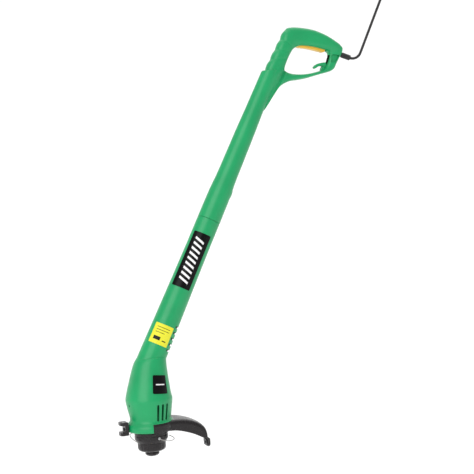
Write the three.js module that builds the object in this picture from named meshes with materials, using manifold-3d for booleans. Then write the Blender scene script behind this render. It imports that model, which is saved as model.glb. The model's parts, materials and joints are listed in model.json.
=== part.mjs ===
// String trimmer: an electric hand trimmer with a grip loop, a two-piece tube,
// a motor pod and a bump-fed line head. Millimetres, +Z up along the spool axis,
// +X to the rear, Y = 0 the symmetry plane. The origin is the middle of the hand grip.
import * as THREE from 'three';
import { mergeVertices } from 'three/addons/utils/BufferGeometryUtils.js';
import Module from 'manifold-3d';

const wasm = await Module();
wasm.setup();

// ---- driving dimensions --------------------------------------------------------
// Heights and reaches below are counted from the foot of the bump knob.
const GRIP = { x: 460, z: 922 };       // middle of the hand's place on the top bar
const TILT = THREE.MathUtils.degToRad(27.8);   // tube axis, leaning back from the spool axis
const BEND_Z = 194;                    // where the tube axis meets the spool axis
const WALL = 2.8;                      // moulded wall
const GAP = 0.3;                       // clearance between touching pieces
const JOINT_S = 362;                   // joint of the two tube pieces, along the tube
const COLLAR_Z = 851;                  // flat top of the collar below the front post
const GRIP_THICK = 34;                 // top bar and front post, across
const LOOP_THICK = 26;                 // bottom bar and rear post, across
const LABEL_TURN = -108;               // labels face forward of the side, degrees
const SKIRT_Z = 58.7;                  // lower edge of the front skirt
const BAND_TOP = 77.4;                 // upper edge of the guard's band
const BAND_HALF_ANGLE = 101;           // the band goes this far round each side of the rear
const BAND_R = 51.4;
const GUARD_HALF = 40;                 // guard hood, half width
const DRUM_R = 37.2;                   // spool housing
const CAP_R = 31.2;                    // spool cap
const SHAFT_R = 4;
const LINE_R = 0.8;
const CORD_R = 3.1;
const SLEEVE_DOWN = THREE.MathUtils.degToRad(-18.5);  // strain relief, sloping down to the rear
const CORD_UP = THREE.MathUtils.degToRad(63.5);       // cord's straight run
const CORD_BEND_R = 25;
const CORD_LENGTH = 300;

// ---- materials -----------------------------------------------------------------
const finish = (color, roughness, metalness = 0) =>
  new THREE.MeshStandardMaterial({ color, roughness, metalness });
const green = finish(0x22a862, 0.42);
const black = finish(0x2c2a2b, 0.45);
const rubber = finish(0x1c1b1b, 0.7);
const yellow = finish(0xf4c63c, 0.4);
const paleYellow = finish(0xf3ee3a, 0.5);
const nylon = finish(0xd8dcdc, 0.35);
const steel = finish(0xa9acae, 0.35, 1);
const darkSteel = finish(0x5c5f61, 0.45, 1);
const brass = finish(0xc49a4a, 0.35, 1);
const copper = finish(0xb4693a, 0.4, 1);
const cream = finish(0xd9d3c0, 0.6);

// ---- solids --------------------------------------------------------------------
function solidOf(geometry) {
  const bare = geometry.clone();
  bare.deleteAttribute('normal');
  bare.deleteAttribute('uv');
  const merged = mergeVertices(bare, 1e-3);
  const index = merged.index.array;
  const kept = [];
  for (let i = 0; i < index.length; i += 3) {
    const [a, b, c] = [index[i], index[i + 1], index[i + 2]];
    if (a !== b && b !== c && c !== a) kept.push(a, b, c);
  }
  return new wasm.Manifold(new wasm.Mesh({
    numProp: 3,
    vertProperties: new Float32Array(merged.attributes.position.array),
    triVerts: new Uint32Array(kept),
  }));
}

function geometryOf(solid) {
  const mesh = solid.getMesh();
  const geometry = new THREE.BufferGeometry();
  geometry.setAttribute('position', new THREE.BufferAttribute(new Float32Array(mesh.vertProperties), 3));
  geometry.setIndex(new THREE.BufferAttribute(new Uint32Array(mesh.triVerts), 1));
  geometry.computeVertexNormals();
  return geometry;
}

const points = (...list) => list.map(([x, y]) => new THREE.Vector2(x, y));
const join = (...solids) => solids.reduce((all, next) => all.add(next));
const cut = (body, ...tools) => tools.reduce((rest, tool) => rest.subtract(tool), body);

// A turned solid about Z from a profile of [radius, height] pairs, given either way round.
function turned(profile, sides = 32) {
  const outwards = THREE.ShapeUtils.area(points(...profile)) > 0 ? profile : profile.toReversed();
  return new THREE.LatheGeometry(points(...outwards), sides).rotateX(Math.PI / 2);
}

// A turned ring: the profile closes on itself.
const ring = (profile, sides = 32) => turned([...profile, profile[0]], sides);

// A pipe about Z between two radii and two heights.
const pipe = (inner, outer, low, high, sides = 28) =>
  ring([[inner, low], [outer, low], [outer, high], [inner, high]], sides);

// A rod about Z.
const rod = (r, low, high, sides = 20) => turned([[0, low], [r, low], [r, high], [0, high]], sides);

// A rod across the object, along Y.
const crossRod = (r, x, z, low, high, sides = 16) =>
  rod(r, low, high, sides).rotateX(-Math.PI / 2).translate(x, 0, z);

const block = (x0, x1, y0, y1, z0, z1) =>
  new THREE.BoxGeometry(x1 - x0, y1 - y0, z1 - z0)
    .translate((x0 + x1) / 2, (y0 + y1) / 2, (z0 + z1) / 2);

// A slab standing in the XZ plane, centred on Y = 0, with rounded edges if round > 0.
function slab(shape, thick, round = 0, inset = round, curveSegments = 3) {
  const geometry = new THREE.ExtrudeGeometry(shape, {
    depth: thick - 2 * round, curveSegments, bevelEnabled: round > 0,
    bevelThickness: round, bevelSize: inset, bevelOffset: -inset, bevelSegments: 2,
  });
  return geometry.translate(0, 0, -(thick / 2 - round)).rotateX(Math.PI / 2);
}

// A slab lying in the XY plane between two heights.
const plate = (shape, low, high, curveSegments = 6) =>
  new THREE.ExtrudeGeometry(shape, { depth: high - low, curveSegments, bevelEnabled: false })
    .translate(0, 0, low);

// A closed outline through straight points.
const outline = (...corners) => new THREE.Shape(points(...corners));

// A pie slice about Z, between two bearings in degrees from +X.
function slice(from, to, radius, low, high) {
  const shape = new THREE.Shape();
  const [a, b] = [from, to].map(THREE.MathUtils.degToRad);
  shape.moveTo(0, 0);
  shape.lineTo(radius * Math.cos(a), radius * Math.sin(a));
  shape.absarc(0, 0, radius, a, b, false);
  return plate(shape, low, high, 24);
}

// Carry a geometry from the tube's own frame (Z along the tube) to the object's.
const TUBE_FRAME = new THREE.Matrix4().makeRotationY(TILT).setPosition(0, 0, BEND_Z);
const onTube = (geometry) => geometry.clone().applyMatrix4(TUBE_FRAME);

// A round strand along a smooth curve through points.
function strand(route, r, sides = 8, steps = 40) {
  const path = new THREE.CatmullRomCurve3(route.map((p) => new THREE.Vector3(...p)), false, 'centripetal');
  return sweep(path, r, sides, steps);
}

function sweep(path, r, sides, steps) {
  const section = new THREE.Shape();
  section.absarc(0, 0, r, 0, 2 * Math.PI, false);
  return new THREE.ExtrudeGeometry(section, { curveSegments: sides / 2, steps, extrudePath: path });
}

// A coil spring about Z.
function coil(radius, wire, low, high, turns, stepsPerTurn = 10) {
  class Helix extends THREE.Curve {
    getPoint(t, target = new THREE.Vector3()) {
      const angle = 2 * Math.PI * turns * t;
      return target.set(radius * Math.cos(angle), radius * Math.sin(angle),
        low + wire + (high - low - 2 * wire) * t);
    }
  }
  return sweep(new Helix(), wire, 4, Math.round(turns * stepsPerTurn));
}

// ---- scene graph ---------------------------------------------------------------
const group = new THREE.Group();
const trimmer = new THREE.Group();
trimmer.position.set(-GRIP.x, 0, -GRIP.z);
group.add(trimmer);
const tube = new THREE.Group();
tube.position.set(0, 0, BEND_Z);
tube.rotation.y = TILT;
trimmer.add(tube);

function add(name, shape, material, parent = trimmer) {
  const geometry = shape instanceof wasm.Manifold ? geometryOf(shape) : shape;
  const mesh = new THREE.Mesh(geometry, material);
  mesh.name = name;
  parent.add(mesh);
  return mesh;
}

// ---- shells: shared cutting tools ----------------------------------------------
const REACH = 2000;
const nearSide = solidOf(block(-REACH, REACH, -REACH, -GAP / 2, -REACH, REACH));
const farSide = solidOf(block(-REACH, REACH, GAP / 2, REACH, -REACH, REACH));

// Screws run across the split; each has a boss in both halves and a sunk head on the far side.
const BOSS_R = 5;
const SCREW = { shank: 1.6, hole: 1.9, head: 3.2, sink: 3.6, grip: 11 };

function shellHalves(outer, cavity, screws) {
  const bosses = screws.map(([x, z]) => outer.intersect(solidOf(crossRod(BOSS_R, x, z, -30, 30, 10))));
  const holes = screws.map(([x, z, floor]) => join(
    solidOf(crossRod(SCREW.hole, x, z, -SCREW.grip - 1, floor + 1, 8)),
    solidOf(crossRod(SCREW.sink, x, z, floor, 60, 12)),
  ));
  const whole = cut(join(cut(outer, cavity), ...bosses), ...holes);
  return [whole.intersect(nearSide), whole.intersect(farSide)];
}

function shellScrews(prefix, screws) {
  screws.forEach(([x, z, floor], i) => {
    const profile = [[0, -SCREW.grip], [SCREW.shank, -SCREW.grip + 2], [SCREW.shank, floor + GAP],
      [SCREW.head, floor + GAP], [SCREW.head, floor + 1.8], [2, floor + 2.6], [0, floor + 2.6]];
    add(`${prefix}_screw_${i + 1}`, turned(profile, 8).rotateX(-Math.PI / 2).translate(x, 0, z), steel);
  });
}

// A point on the tube's axis, s along it from the bend.
const alongTube = (s) => [s * Math.sin(TILT), BEND_Z + s * Math.cos(TILT)];

// ---- handle and upper tube -----------------------------------------------------
const UPPER_TUBE = [[26.4, JOINT_S + 0.3], [26.2, 400], [25.6, 434], [23.9, 462], [22.9, 520],
  [21.9, 589], [20.6, 641], [19.6, 700], [18.6, 760]];

function ribbedPost(shape) {
  const ribs = 4;
  const [x0, z0, x1, z1] = [334, 853, 391, 946];
  for (let i = 0; i < ribs; i += 1) {
    const mid = (i + 0.5) / ribs;
    const end = (i + 1) / ribs;
    shape.quadraticCurveTo(x0 + (x1 - x0) * mid - 3.4, z0 + (z1 - z0) * mid + 2.1,
      x0 + (x1 - x0) * end, z0 + (z1 - z0) * end);
  }
}

function loopHole() {
  const hole = new THREE.Path();
  hole.moveTo(405, 899);
  hole.splineThru(points([415, 906], [433, 909], [460, 905.5], [481, 900], [493, 895]));
  hole.quadraticCurveTo(501, 892, 499, 886);
  hole.lineTo(490, 862);
  hole.quadraticCurveTo(486, 853, 471, 848);
  hole.splineThru(points([450, 843.5], [424, 841], [397, 843]));
  hole.quadraticCurveTo(378, 847, 381.5, 859);
  hole.splineThru(points([386, 870], [398, 890], [405, 899]));
  return new THREE.Path(hole.getPoints(3).reverse());
}

function loopOutline() {
  const shape = new THREE.Shape();
  shape.moveTo(334, 853);
  ribbedPost(shape);
  shape.quadraticCurveTo(394, 950.5, 401, 950.5);
  shape.splineThru(points([431, 949.5], [464, 944], [497, 931], [529, 911]));
  shape.quadraticCurveTo(541, 903, 535.5, 892);
  shape.lineTo(514, 859);
  shape.quadraticCurveTo(508, 848.5, 495, 845.5);
  shape.splineThru(points([478, 841.5], [429, 830], [392, 825], [368, 815], [349, 800], [334, 781]));
  shape.lineTo(318, 757);
  shape.lineTo(300, 770);
  shape.lineTo(330, 840);
  shape.holes.push(loopHole());
  return shape;
}

function gripOutline() {
  const shape = new THREE.Shape();
  shape.moveTo(334, 853);
  ribbedPost(shape);
  shape.quadraticCurveTo(394, 950.5, 401, 950.5);
  shape.splineThru(points([431, 949.5], [464, 944], [497, 931], [523, 915]));
  shape.quadraticCurveTo(526, 903, 505, 898);
  shape.splineThru(points([493, 895], [481, 900], [460, 905.5], [433, 909], [415, 906], [405, 899]));
  shape.splineThru(points([398, 890], [386, 870], [379, 855]));
  shape.lineTo(372, 846);
  shape.lineTo(333, 846);
  return shape;
}

// The grip is hollowed wide, the thinner rear end and the lower front narrower.
const gripCavity = outline([343, 857], [394, 938], [402, 945], [431, 945], [463, 939.5], [493, 926],
  [511, 914], [513, 908], [505, 902.5], [494, 900], [482, 904.5], [461, 910], [434, 913],
  [413, 910], [401, 901], [394, 892], [382, 872], [375, 857]);
const rearCavity = outline([488, 925], [511, 914], [526, 905.5], [529, 898], [524, 890], [506, 892],
  [503, 898.5], [488, 904]);
const frontCavity = outline([345, 861], [378, 863], [375, 857], [365, 842], [352, 826], [335, 828],
  [335, 840]);

const SLEEVE_ROOT = { x: 532, z: 887 };       // where the strain relief leaves the handle
const sleeveFrame = (geometry) =>
  geometry.rotateY(Math.PI / 2 - SLEEVE_DOWN).translate(SLEEVE_ROOT.x, 0, SLEEVE_ROOT.z);

const TRIGGER_PIN = { x: 419, z: 916, r: 1.5 };
const handleScrews = [[387, 927, 9], [517, 906, 6], [...alongTube(640), 12], [...alongTube(430), 16]];

function handleShells() {
  const tubeOuter = solidOf(onTube(turned([[0, UPPER_TUBE[0][1]], ...UPPER_TUBE, [0, 760]], 24)))
    .subtract(solidOf(block(0, 700, -60, 60, COLLAR_Z, 1000)));
  const outer = join(
    tubeOuter,
    solidOf(slab(loopOutline(), LOOP_THICK, 5, 3)),
    solidOf(slab(gripOutline(), GRIP_THICK, 7, 4)),
  );
  const bore = UPPER_TUBE.map(([r, s]) => [r - WALL, s]);
  const cavity = join(
    solidOf(onTube(turned([[0, JOINT_S - 5], [bore[0][0], JOINT_S - 5], bore[2], bore[3], bore[6],
      [16.4, 725], [0, 725]], 16))),
    solidOf(slab(gripCavity, GRIP_THICK - 6.8)),
    solidOf(slab(rearCavity, LOOP_THICK - 6.8)),
    solidOf(slab(frontCavity, LOOP_THICK - 6.8)),
    solidOf(block(411, 492.5, -8.8, 8.8, 896, 915)),
    solidOf(sleeveFrame(rod(5.6, -12, 20, 12))),
    solidOf(sleeveFrame(rod(8.4, -9.4, -5.1, 12))),
    solidOf(crossRod(TRIGGER_PIN.r + GAP, TRIGGER_PIN.x, TRIGGER_PIN.z, -14.8, 14.8, 12)),
    solidOf(block(480, 497, -5, 5, 866, 884)),
  );
  return shellHalves(outer, cavity, handleScrews);
}

const [handleNear, handleFar] = handleShells();
add('handle_shell_near', handleNear, green);
add('handle_shell_far', handleFar, green);
shellScrews('handle', handleScrews);

// ---- handle fittings -----------------------------------------------------------
function trigger() {
  const side = new THREE.Shape();
  side.moveTo(414, 914);
  side.quadraticCurveTo(414, 904.5, 422, 903.5);
  side.quadraticCurveTo(452, 900, 478, 893.3);
  side.quadraticCurveTo(487.5, 891, 488.5, 898);
  side.lineTo(488, 902);
  side.lineTo(468, 908.5);
  side.lineTo(440, 912);
  side.lineTo(424, 918.5);
  side.lineTo(418, 919.5);
  side.quadraticCurveTo(414, 919, 414, 914);
  const pinHole = crossRod(TRIGGER_PIN.r + GAP, TRIGGER_PIN.x, TRIGGER_PIN.z, -20, 20, 12);
  return cut(solidOf(slab(side, 16, 3, 1.5)), solidOf(pinHole));
}
add('trigger', trigger(), yellow);
add('trigger_pin', crossRod(TRIGGER_PIN.r, TRIGGER_PIN.x, TRIGGER_PIN.z, -14.4, 14.4, 10), steel);

const PLUNGER = { x: 452, r: 2.4, low: 911.5 + GAP, stop: 926 };
const SWITCH = { x0: 440, x1: 466, half: 8, low: 922, high: 937.5 };
add('switch_body', cut(
  solidOf(block(SWITCH.x0, SWITCH.x1, -SWITCH.half, SWITCH.half, SWITCH.low, SWITCH.high)),
  solidOf(rod(PLUNGER.r + GAP, SWITCH.low - 5, SWITCH.low + 10, 14).translate(PLUNGER.x, 0, 0)),
), black);
add('switch_plunger', rod(PLUNGER.r, PLUNGER.low, PLUNGER.stop, 12).translate(PLUNGER.x, 0, 0), cream);
add('trigger_spring', coil(4.4, 0.5, PLUNGER.low, SWITCH.low - GAP, 3.5).translate(PLUNGER.x, 0, 0), steel);

function cordHook() {
  const hook = new THREE.Shape();
  hook.moveTo(490.6, 868);
  hook.quadraticCurveTo(474, 869.5, 465, 864);
  hook.quadraticCurveTo(459, 861, 456.6, 857);
  hook.quadraticCurveTo(457, 852.6, 460.5, 854.4);
  hook.quadraticCurveTo(465, 859.5, 473, 860.2);
  hook.quadraticCurveTo(479, 860, 480.6, 856);
  hook.lineTo(484.3, 857.8);
  hook.lineTo(488, 862.5);
  return slab(hook, 11, 2, 1.2);
}
add('cord_hook', cordHook(), green);

// ---- strain relief, cord and plug ----------------------------------------------
const SLEEVE_LENGTH = 26;
add('strain_relief', sleeveFrame(turned([[0, -9], [8, -9], [8, -5.5], [5, -5.2], [5, 2], [5.3, 6],
  [4.6, SLEEVE_LENGTH], [0, SLEEVE_LENGTH]], 16)), rubber);
add('cord_clamp', block(508, 519, -9, 9, 896, 899.5), black);
[-6, 6].forEach((y, i) => {
  add(`clamp_screw_${i + 1}`, turned([[0, 899.8], [2.6, 899.8], [2.6, 901.4], [0, 901.4]], 10)
    .translate(513, y, 0), steel);
});

// The cord leaves the sleeve, bends up on one arc and runs straight to the plug.
function cordRoute() {
  const reach = SLEEVE_LENGTH + GAP;
  const along = (a) => [Math.cos(a), Math.sin(a)];
  const [dx, dz] = along(SLEEVE_DOWN);
  const start = [SLEEVE_ROOT.x + reach * dx, SLEEVE_ROOT.z + reach * dz];
  const centre = [start[0] - CORD_BEND_R * dz, start[1] + CORD_BEND_R * dx];
  const steps = 8;
  const route = [];
  for (let i = 0; i <= steps; i += 1) {
    const a = SLEEVE_DOWN + (CORD_UP - SLEEVE_DOWN) * (i / steps) - Math.PI / 2;
    route.push([centre[0] + CORD_BEND_R * Math.cos(a), 0, centre[1] + CORD_BEND_R * Math.sin(a)]);
  }
  const straight = CORD_LENGTH - CORD_BEND_R * (CORD_UP - SLEEVE_DOWN);
  const [ux, uz] = along(CORD_UP);
  const [bx, , bz] = route[steps];
  for (let i = 1; i <= steps; i += 1) {
    route.push([bx + (ux * straight * i) / steps, 0, bz + (uz * straight * i) / steps]);
  }
  return route;
}
const route = cordRoute();
add('power_cord', strand(route, CORD_R, 8, 40), rubber);

const plug = new THREE.Group();
const cordEnd = route[route.length - 1];
plug.position.set(cordEnd[0] + GAP * Math.cos(CORD_UP), 0, cordEnd[2] + GAP * Math.sin(CORD_UP));
plug.rotation.y = Math.PI / 2 - CORD_UP;
trimmer.add(plug);
const PLUG = { neck: 5, length: 46, faceX: 13.5, faceY: 18, pinGap: 19, pinR: 2.4, pinLength: 19 };
function plugBody() {
  const neck = turned([[0, 0], [PLUG.neck, 0], [PLUG.neck + 1.5, 14], [0, 14]], 16);
  const face = new THREE.Shape();
  face.absellipse(0, 0, PLUG.faceX, PLUG.faceY, 0, 2 * Math.PI, false, 0);
  const body = new THREE.ExtrudeGeometry(face, {
    depth: PLUG.length - 14 - 8, curveSegments: 10, bevelEnabled: true,
    bevelThickness: 8, bevelSize: 7, bevelOffset: -7, bevelSegments: 3,
  }).translate(0, 0, 20);
  const front = solidOf(block(-60, 60, -60, 60, PLUG.length, 80));
  return cut(join(solidOf(neck), solidOf(body)), front);
}
add('plug_body', plugBody(), rubber, plug);
['a', 'b'].forEach((name, i) => {
  const y = (i - 0.5) * PLUG.pinGap;
  add(`plug_pin_${name}`, rod(PLUG.pinR, PLUG.length + GAP, PLUG.length + PLUG.pinLength, 12)
    .translate(0, y, 0), brass, plug);
});

// ---- screws that hold the guard and the bracket to the bearing bridge -----------
// They run inwards, towards the spool axis, at these bearings from the rear.
const BASE_SCREW_Z = 67;
const GUARD_SCREW_BEARINGS = [-52, 52].map(THREE.MathUtils.degToRad);
const inwards = (geometry, bearing) =>
  geometry.rotateY(Math.PI / 2).rotateZ(bearing).translate(0, 0, BASE_SCREW_Z);
const guardScrewHoles = () => GUARD_SCREW_BEARINGS.flatMap((bearing) => [
  solidOf(inwards(rod(1.9, 38, 60, 10), bearing)),
  solidOf(inwards(rod(3.2, 49.6, 60, 12), bearing)),
]);
const bracketScrewHole = () => solidOf(inwards(rod(1.9, 38, 70, 10), Math.PI));

// ---- motor shells --------------------------------------------------------------
const POD = [[51.3, SKIRT_Z], [52.8, 62], [53.2, 67], [52.2, 72], [49.3, 78], [46.8, 84], [46.9, 86],
  [47.8, 93], [50.5, 111], [51.8, 121], [52.3, 128], [51.4, 134], [46.6, 156], [43, 169], [39.5, 182],
  [35.5, 195], [32, 204], [27, 213], [21, 219], [12, 222]];
const LOWER_TUBE = [[31, -4], [30.4, 45], [29.1, 118], [27.6, 215], [26.5, 313], [26.4, JOINT_S - 0.3]];
const BLEND = { low: 150, high: 226, rLow: 46.6, rHigh: 33.2, shift: 11 };

function blendCone(inset, sides) {
  const lean = Math.atan2(BLEND.shift, BLEND.high - BLEND.low);
  return turned([[0, 0], [BLEND.rLow - inset, 0], [BLEND.rHigh - inset, BLEND.high - BLEND.low],
    [0, BLEND.high - BLEND.low]], sides).rotateY(lean).translate(1, 0, BLEND.low);
}

const motorScrews = [[...alongTube(250), 16], [...alongTube(128), 18], [-39.5, 91, 12],
  [40, 91, 12]];
const VENT_BEARINGS = [-86, -72.6, -58.6];       // side vents, degrees from the rear
const TUBE_VENTS = [108.9, 95.2, 81.5, 67.8, 54.1];   // rear vents, along the tube

function sideVents() {
  const slots = [];
  for (const side of [1, -1]) {
    for (const bearing of VENT_BEARINGS) {
      slots.push(solidOf(block(36, 60, -2.2, 2.2, 83, 120)
        .rotateZ(THREE.MathUtils.degToRad(bearing * side))));
    }
  }
  return slots;
}

function motorShells() {
  const pod = turned([[0, SKIRT_Z], ...POD, [0, 223]], 32);
  const outer = join(
    solidOf(pod),
    solidOf(onTube(turned([[0, LOWER_TUBE[0][1]], ...LOWER_TUBE, [0, JOINT_S - 0.3]], 24))),
    solidOf(blendCone(0, 24)),
  );
  const inner = POD.map(([r, z]) => [Math.min(r - WALL, z < 75 ? 48 : 60), z]);
  const cavity = join(
    solidOf(turned([[0, 40], [48, 40], [48, 66], ...inner.slice(5, -1), [0, 219.5]], 20)),
    solidOf(onTube(turned([[0, 0], [31 - WALL, 0], ...LOWER_TUBE.slice(1, -1).map(([r, s]) => [r - WALL, s]),
      [26.4 - WALL, JOINT_S + 5], [0, JOINT_S + 5]], 16))),
    solidOf(blendCone(WALL, 16)),
  );
  const notch = solidOf(pipe(43.9, 70, 40, BAND_TOP + GAP, 48))
    .intersect(solidOf(slice(-BAND_HALF_ANGLE - 0.4, BAND_HALF_ANGLE + 0.4, 80, 40, 90)));
  const tubeVents = TUBE_VENTS.map((s) => solidOf(onTube(block(12, 45, -17, 17, s - 2.4, s + 2.4))));
  const clips = [[-167.6, 119], [-158.7, 87]].map(([bearing, z]) =>
    solidOf(block(43, 60, -1.4, 1.4, z - 3.5, z + 3.5).rotateZ(THREE.MathUtils.degToRad(bearing))));
  const halves = shellHalves(outer, cavity, motorScrews);
  return halves.map((half) => cut(half, notch, bracketScrewHole(), ...sideVents(), ...tubeVents, ...clips));
}

const [motorNear, motorFar] = motorShells();
add('motor_shell_near', motorNear, green);
add('motor_shell_far', motorFar, green);
shellScrews('motor', motorScrews);

// ---- pieces on the tube --------------------------------------------------------
// A label is a thin sheet wrapped round the tube's taper.
function wrappedLabel(low, high, halfAngle, lift = GAP, thick = 0.5) {
  const radiusAt = (s) => {
    const i = LOWER_TUBE.findIndex(([, end]) => end >= s);
    const [[r0, s0], [r1, s1]] = [LOWER_TUBE[i - 1], LOWER_TUBE[i]];
    return r0 + ((r1 - r0) * (s - s0)) / (s1 - s0) + lift;
  };
  const [ra, rb] = [radiusAt(low), radiusAt(high)];
  const sheet = solidOf(ring([[ra, low], [ra + thick, low], [rb + thick, high], [rb, high]], 48));
  const wedge = slice(LABEL_TURN - halfAngle, LABEL_TURN + halfAngle, 50, low - 1, high + 1);
  return sheet.intersect(solidOf(wedge));
}
add('tube_label', wrappedLabel(194, 326, 43), black, tube);
add('noise_label', wrappedLabel(58, 104, 42, 0.5), paleYellow, tube);
add('joint_sleeve', pipe(19.5, 22.4, 338, 386, 24), black, tube);
add('joint_screw', turned([[0, 15], [1.6, 17], [1.6, 22], [0, 22]], 10)
  .rotateX(-Math.PI / 2).translate(0, 0, 1), steel, tube);

// The badge follows the pod's slope on the near side.
function badge() {
  const sheet = solidOf(ring([[50, 143], [50.8, 143], [44.5, 183], [43.7, 183]], 64));
  return sheet.intersect(solidOf(slice(-92, -52, 60, 140, 190)));
}
add('badge', badge(), black);

// ---- guard, cutter and bracket -------------------------------------------------
// The hood's upper line and its lower edge, as [reach from the spool axis, height].
const HOOD_TOP = [[44.6, 80], [65, 79], [85, 75], [100, 69], [110, 63], [118, 56], [123.5, 47],
  [126, 38], [126, 29]];
const HOOD_LOW = [[118, 29], [110, 33.5], [97, 42], [76, 51], [60, 56], [44.6, 57]];

function guard() {
  const outer = solidOf(turned([[0, 57], ...HOOD_LOW.toReversed(), ...HOOD_TOP.toReversed(), [0, 80]], 56));
  const hollow = solidOf(turned([[0, 0], [123, 0], [123, 37.5], [120.5, 45.5], [115.5, 53.6], [108, 60.2],
    [98.5, 66], [84, 72], [65, 76], [0, 77]], 56));
  const fan = outline([44, -30], [60, -37], [92, -GUARD_HALF], [135, -GUARD_HALF + 4],
    [135, GUARD_HALF - 4], [92, GUARD_HALF], [60, 37], [44, 30]);
  const inside = outline([54, -32], [61, -34], [92, -GUARD_HALF + 3], [140, -GUARD_HALF + 7],
    [140, GUARD_HALF - 7], [92, GUARD_HALF - 3], [61, 34], [54, 32]);
  const hood = outer.intersect(solidOf(plate(fan, 0, 90)));
  const room = hollow.intersect(solidOf(plate(inside, -1, 90)));
  const band = solidOf(ring([[44.6, 57], [BAND_R, 57.6], [BAND_R + 0.4, 62], [BAND_R + 0.4, 74],
    [BAND_R - 0.6, BAND_TOP], [44.6, BAND_TOP]], 56))
    .intersect(solidOf(slice(-BAND_HALF_ANGLE, BAND_HALF_ANGLE, 80, 40, 90)));
  const tab = new THREE.Shape();
  tab.moveTo(-17, 36);
  tab.lineTo(-17, 14);
  tab.quadraticCurveTo(-17, 3, -6, 3);
  tab.lineTo(6, 3);
  tab.quadraticCurveTo(17, 3, 17, 14);
  tab.lineTo(17, 36);
  const tabSlab = solidOf(slab(tab, 40, 0, 0, 4).rotateZ(Math.PI / 2).translate(128, 0, 0));
  const tabSide = solidOf(slab(outline([122.6, 36], [126, 36], [126.4, 28], [133.4, 22], [134, 5], [132, 3],
    [129.6, 4], [129.2, 20], [123, 27]), 60));
  const body = cut(join(cut(hood, room), band, tabSlab.intersect(tabSide)), solidOf(rod(44.6, 0, 100, 56)));
  const aboveBand = solidOf(rod(50.2, BAND_TOP, 100, 56));
  return cut(body, aboveBand, crossHole(0, 12), ...guardScrewHoles());
}

// A hole along X through the tab, for the cutter's screw.
function crossHole(y, z) {
  return solidOf(rod(1.9, 110, 150, 10).rotateY(Math.PI / 2).translate(0, y, z));
}

add('guard', guard(), black);
GUARD_SCREW_BEARINGS.forEach((bearing, i) => {
  const screw = turned([[0, 41], [1.6, 41], [1.6, 49.9], [2.8, 49.9], [2.8, 51.2], [0, 51.2]], 10);
  add(`guard_screw_${i + 1}`, inwards(screw, bearing), darkSteel);
});
const cutter = new THREE.Shape();
cutter.moveTo(-9, 6);
cutter.lineTo(9, 6);
cutter.lineTo(9, 19);
cutter.lineTo(-4, 19);
cutter.lineTo(-9, 16);
cutter.closePath();
add('line_cutter', cut(
  solidOf(slab(cutter, 1.4).rotateZ(Math.PI / 2).translate(128, 0, 0)),
  crossHole(0, 12),
), steel);
const CUTTER_SCREW = [[0, 124.8], [2.2, 124.8], [3, 125.6], [3, 127], [1.6, 127], [1.6, 136], [0, 136]];
add('cutter_screw', turned(CUTTER_SCREW, 12)
  .rotateY(Math.PI / 2).translate(0, 0, 12), darkSteel);

function bracket() {
  const web = outline([-54.2, -12], [-62, -12], [-62, 12], [-54.2, 12]);
  const flange = new THREE.Shape();
  flange.moveTo(-60, -12);
  flange.lineTo(-66, -12);
  flange.quadraticCurveTo(-72, -12, -72, -5);
  flange.lineTo(-72, 5);
  flange.quadraticCurveTo(-72, 12, -66, 12);
  flange.lineTo(-60, 12);
  flange.closePath();
  const body = join(
    solidOf(plate(web, 54, 83.5)),
    solidOf(plate(flange, 54, 61.5, 4)),
    solidOf(plate(flange, 76.5, 83.5, 4)),
  );
  const wireHole = solidOf(rod(2.2, 40, 100, 24).translate(-67.5, 0, 0));
  return cut(body, wireHole, bracketScrewHole());
}
add('front_bracket', bracket(), black);
const BRACKET_SCREW = [[0, 41], [1.6, 41], [1.6, 62.3], [3.2, 62.3], [3.2, 64.6], [0, 64.6]];
add('bracket_screw', inwards(turned(BRACKET_SCREW, 10), Math.PI), darkSteel);

// ---- motor ---------------------------------------------------------------------
function bearingBridge() {
  const body = ring([[13.3, 66], [16.2, 66], [16.2, 77], [40.4, 77], [40.4, 61], [43.4, 61], [43.4, 80],
    [13.3, 80]], 24);
  return cut(solidOf(body), ...guardScrewHoles(), bracketScrewHole());
}
add('bearing_bridge', bearingBridge(), cream);
add('lower_bearing', pipe(SHAFT_R + GAP, 13, 67, 76, 20), steel);
add('upper_bearing', pipe(SHAFT_R + GAP, 11, 188, 195, 20), steel);
add('stator', join(
  solidOf(pipe(21.4, 34, 108, 156, 20)),
  solidOf(pipe(23, 31, 102, 162, 16)),
), darkSteel);
['a', 'b'].forEach((name, i) => {
  const side = 2 * i - 1;
  add(`brush_holder_${name}`, block(-4, 4, side > 0 ? 12 : -30, side > 0 ? 30 : -12, 168, 178), brass);
});
add('motor_shaft', rod(SHAFT_R, 34.5, 198, 14), steel);
const onShaft = SHAFT_R + GAP;
add('armature_core', join(
  solidOf(pipe(onShaft, 20.4, 110, 154, 20)),
  solidOf(pipe(onShaft, 17, 104, 160, 16)),
), darkSteel);
add('commutator', pipe(onShaft, 11, 164, 182, 20), copper);

function fan() {
  const blades = [];
  const count = 8;
  for (let i = 0; i < count; i += 1) {
    blades.push(solidOf(block(9, 33, -0.9, 0.9, 86, 97).rotateZ((2 * Math.PI * i) / count)));
  }
  return join(solidOf(pipe(onShaft, 33.5, 84, 86.4, 24)), solidOf(pipe(onShaft, 10, 84, 98, 16)), ...blades);
}
add('cooling_fan', fan(), cream);

// The supply lead runs from the switch down the tube to the brushes.
function wiring() {
  const off = 9;
  const beside = (s) => {
    const [x, z] = alongTube(s);
    return [x - off * Math.cos(TILT), 5, z + off * Math.sin(TILT)];
  };
  return strand([[438, 5, 931], [420, 5, 934], [404, 5, 925], [391, 5, 903], [372, 5, 873], [357, 5, 850],
    [327, 5, 813], ...[620, 480, 362, 240, 120, 60].map(beside), [2, 5, 228], [-6, 8, 208]], 2.2, 6, 30);
}
add('wiring', wiring(), rubber);

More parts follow.
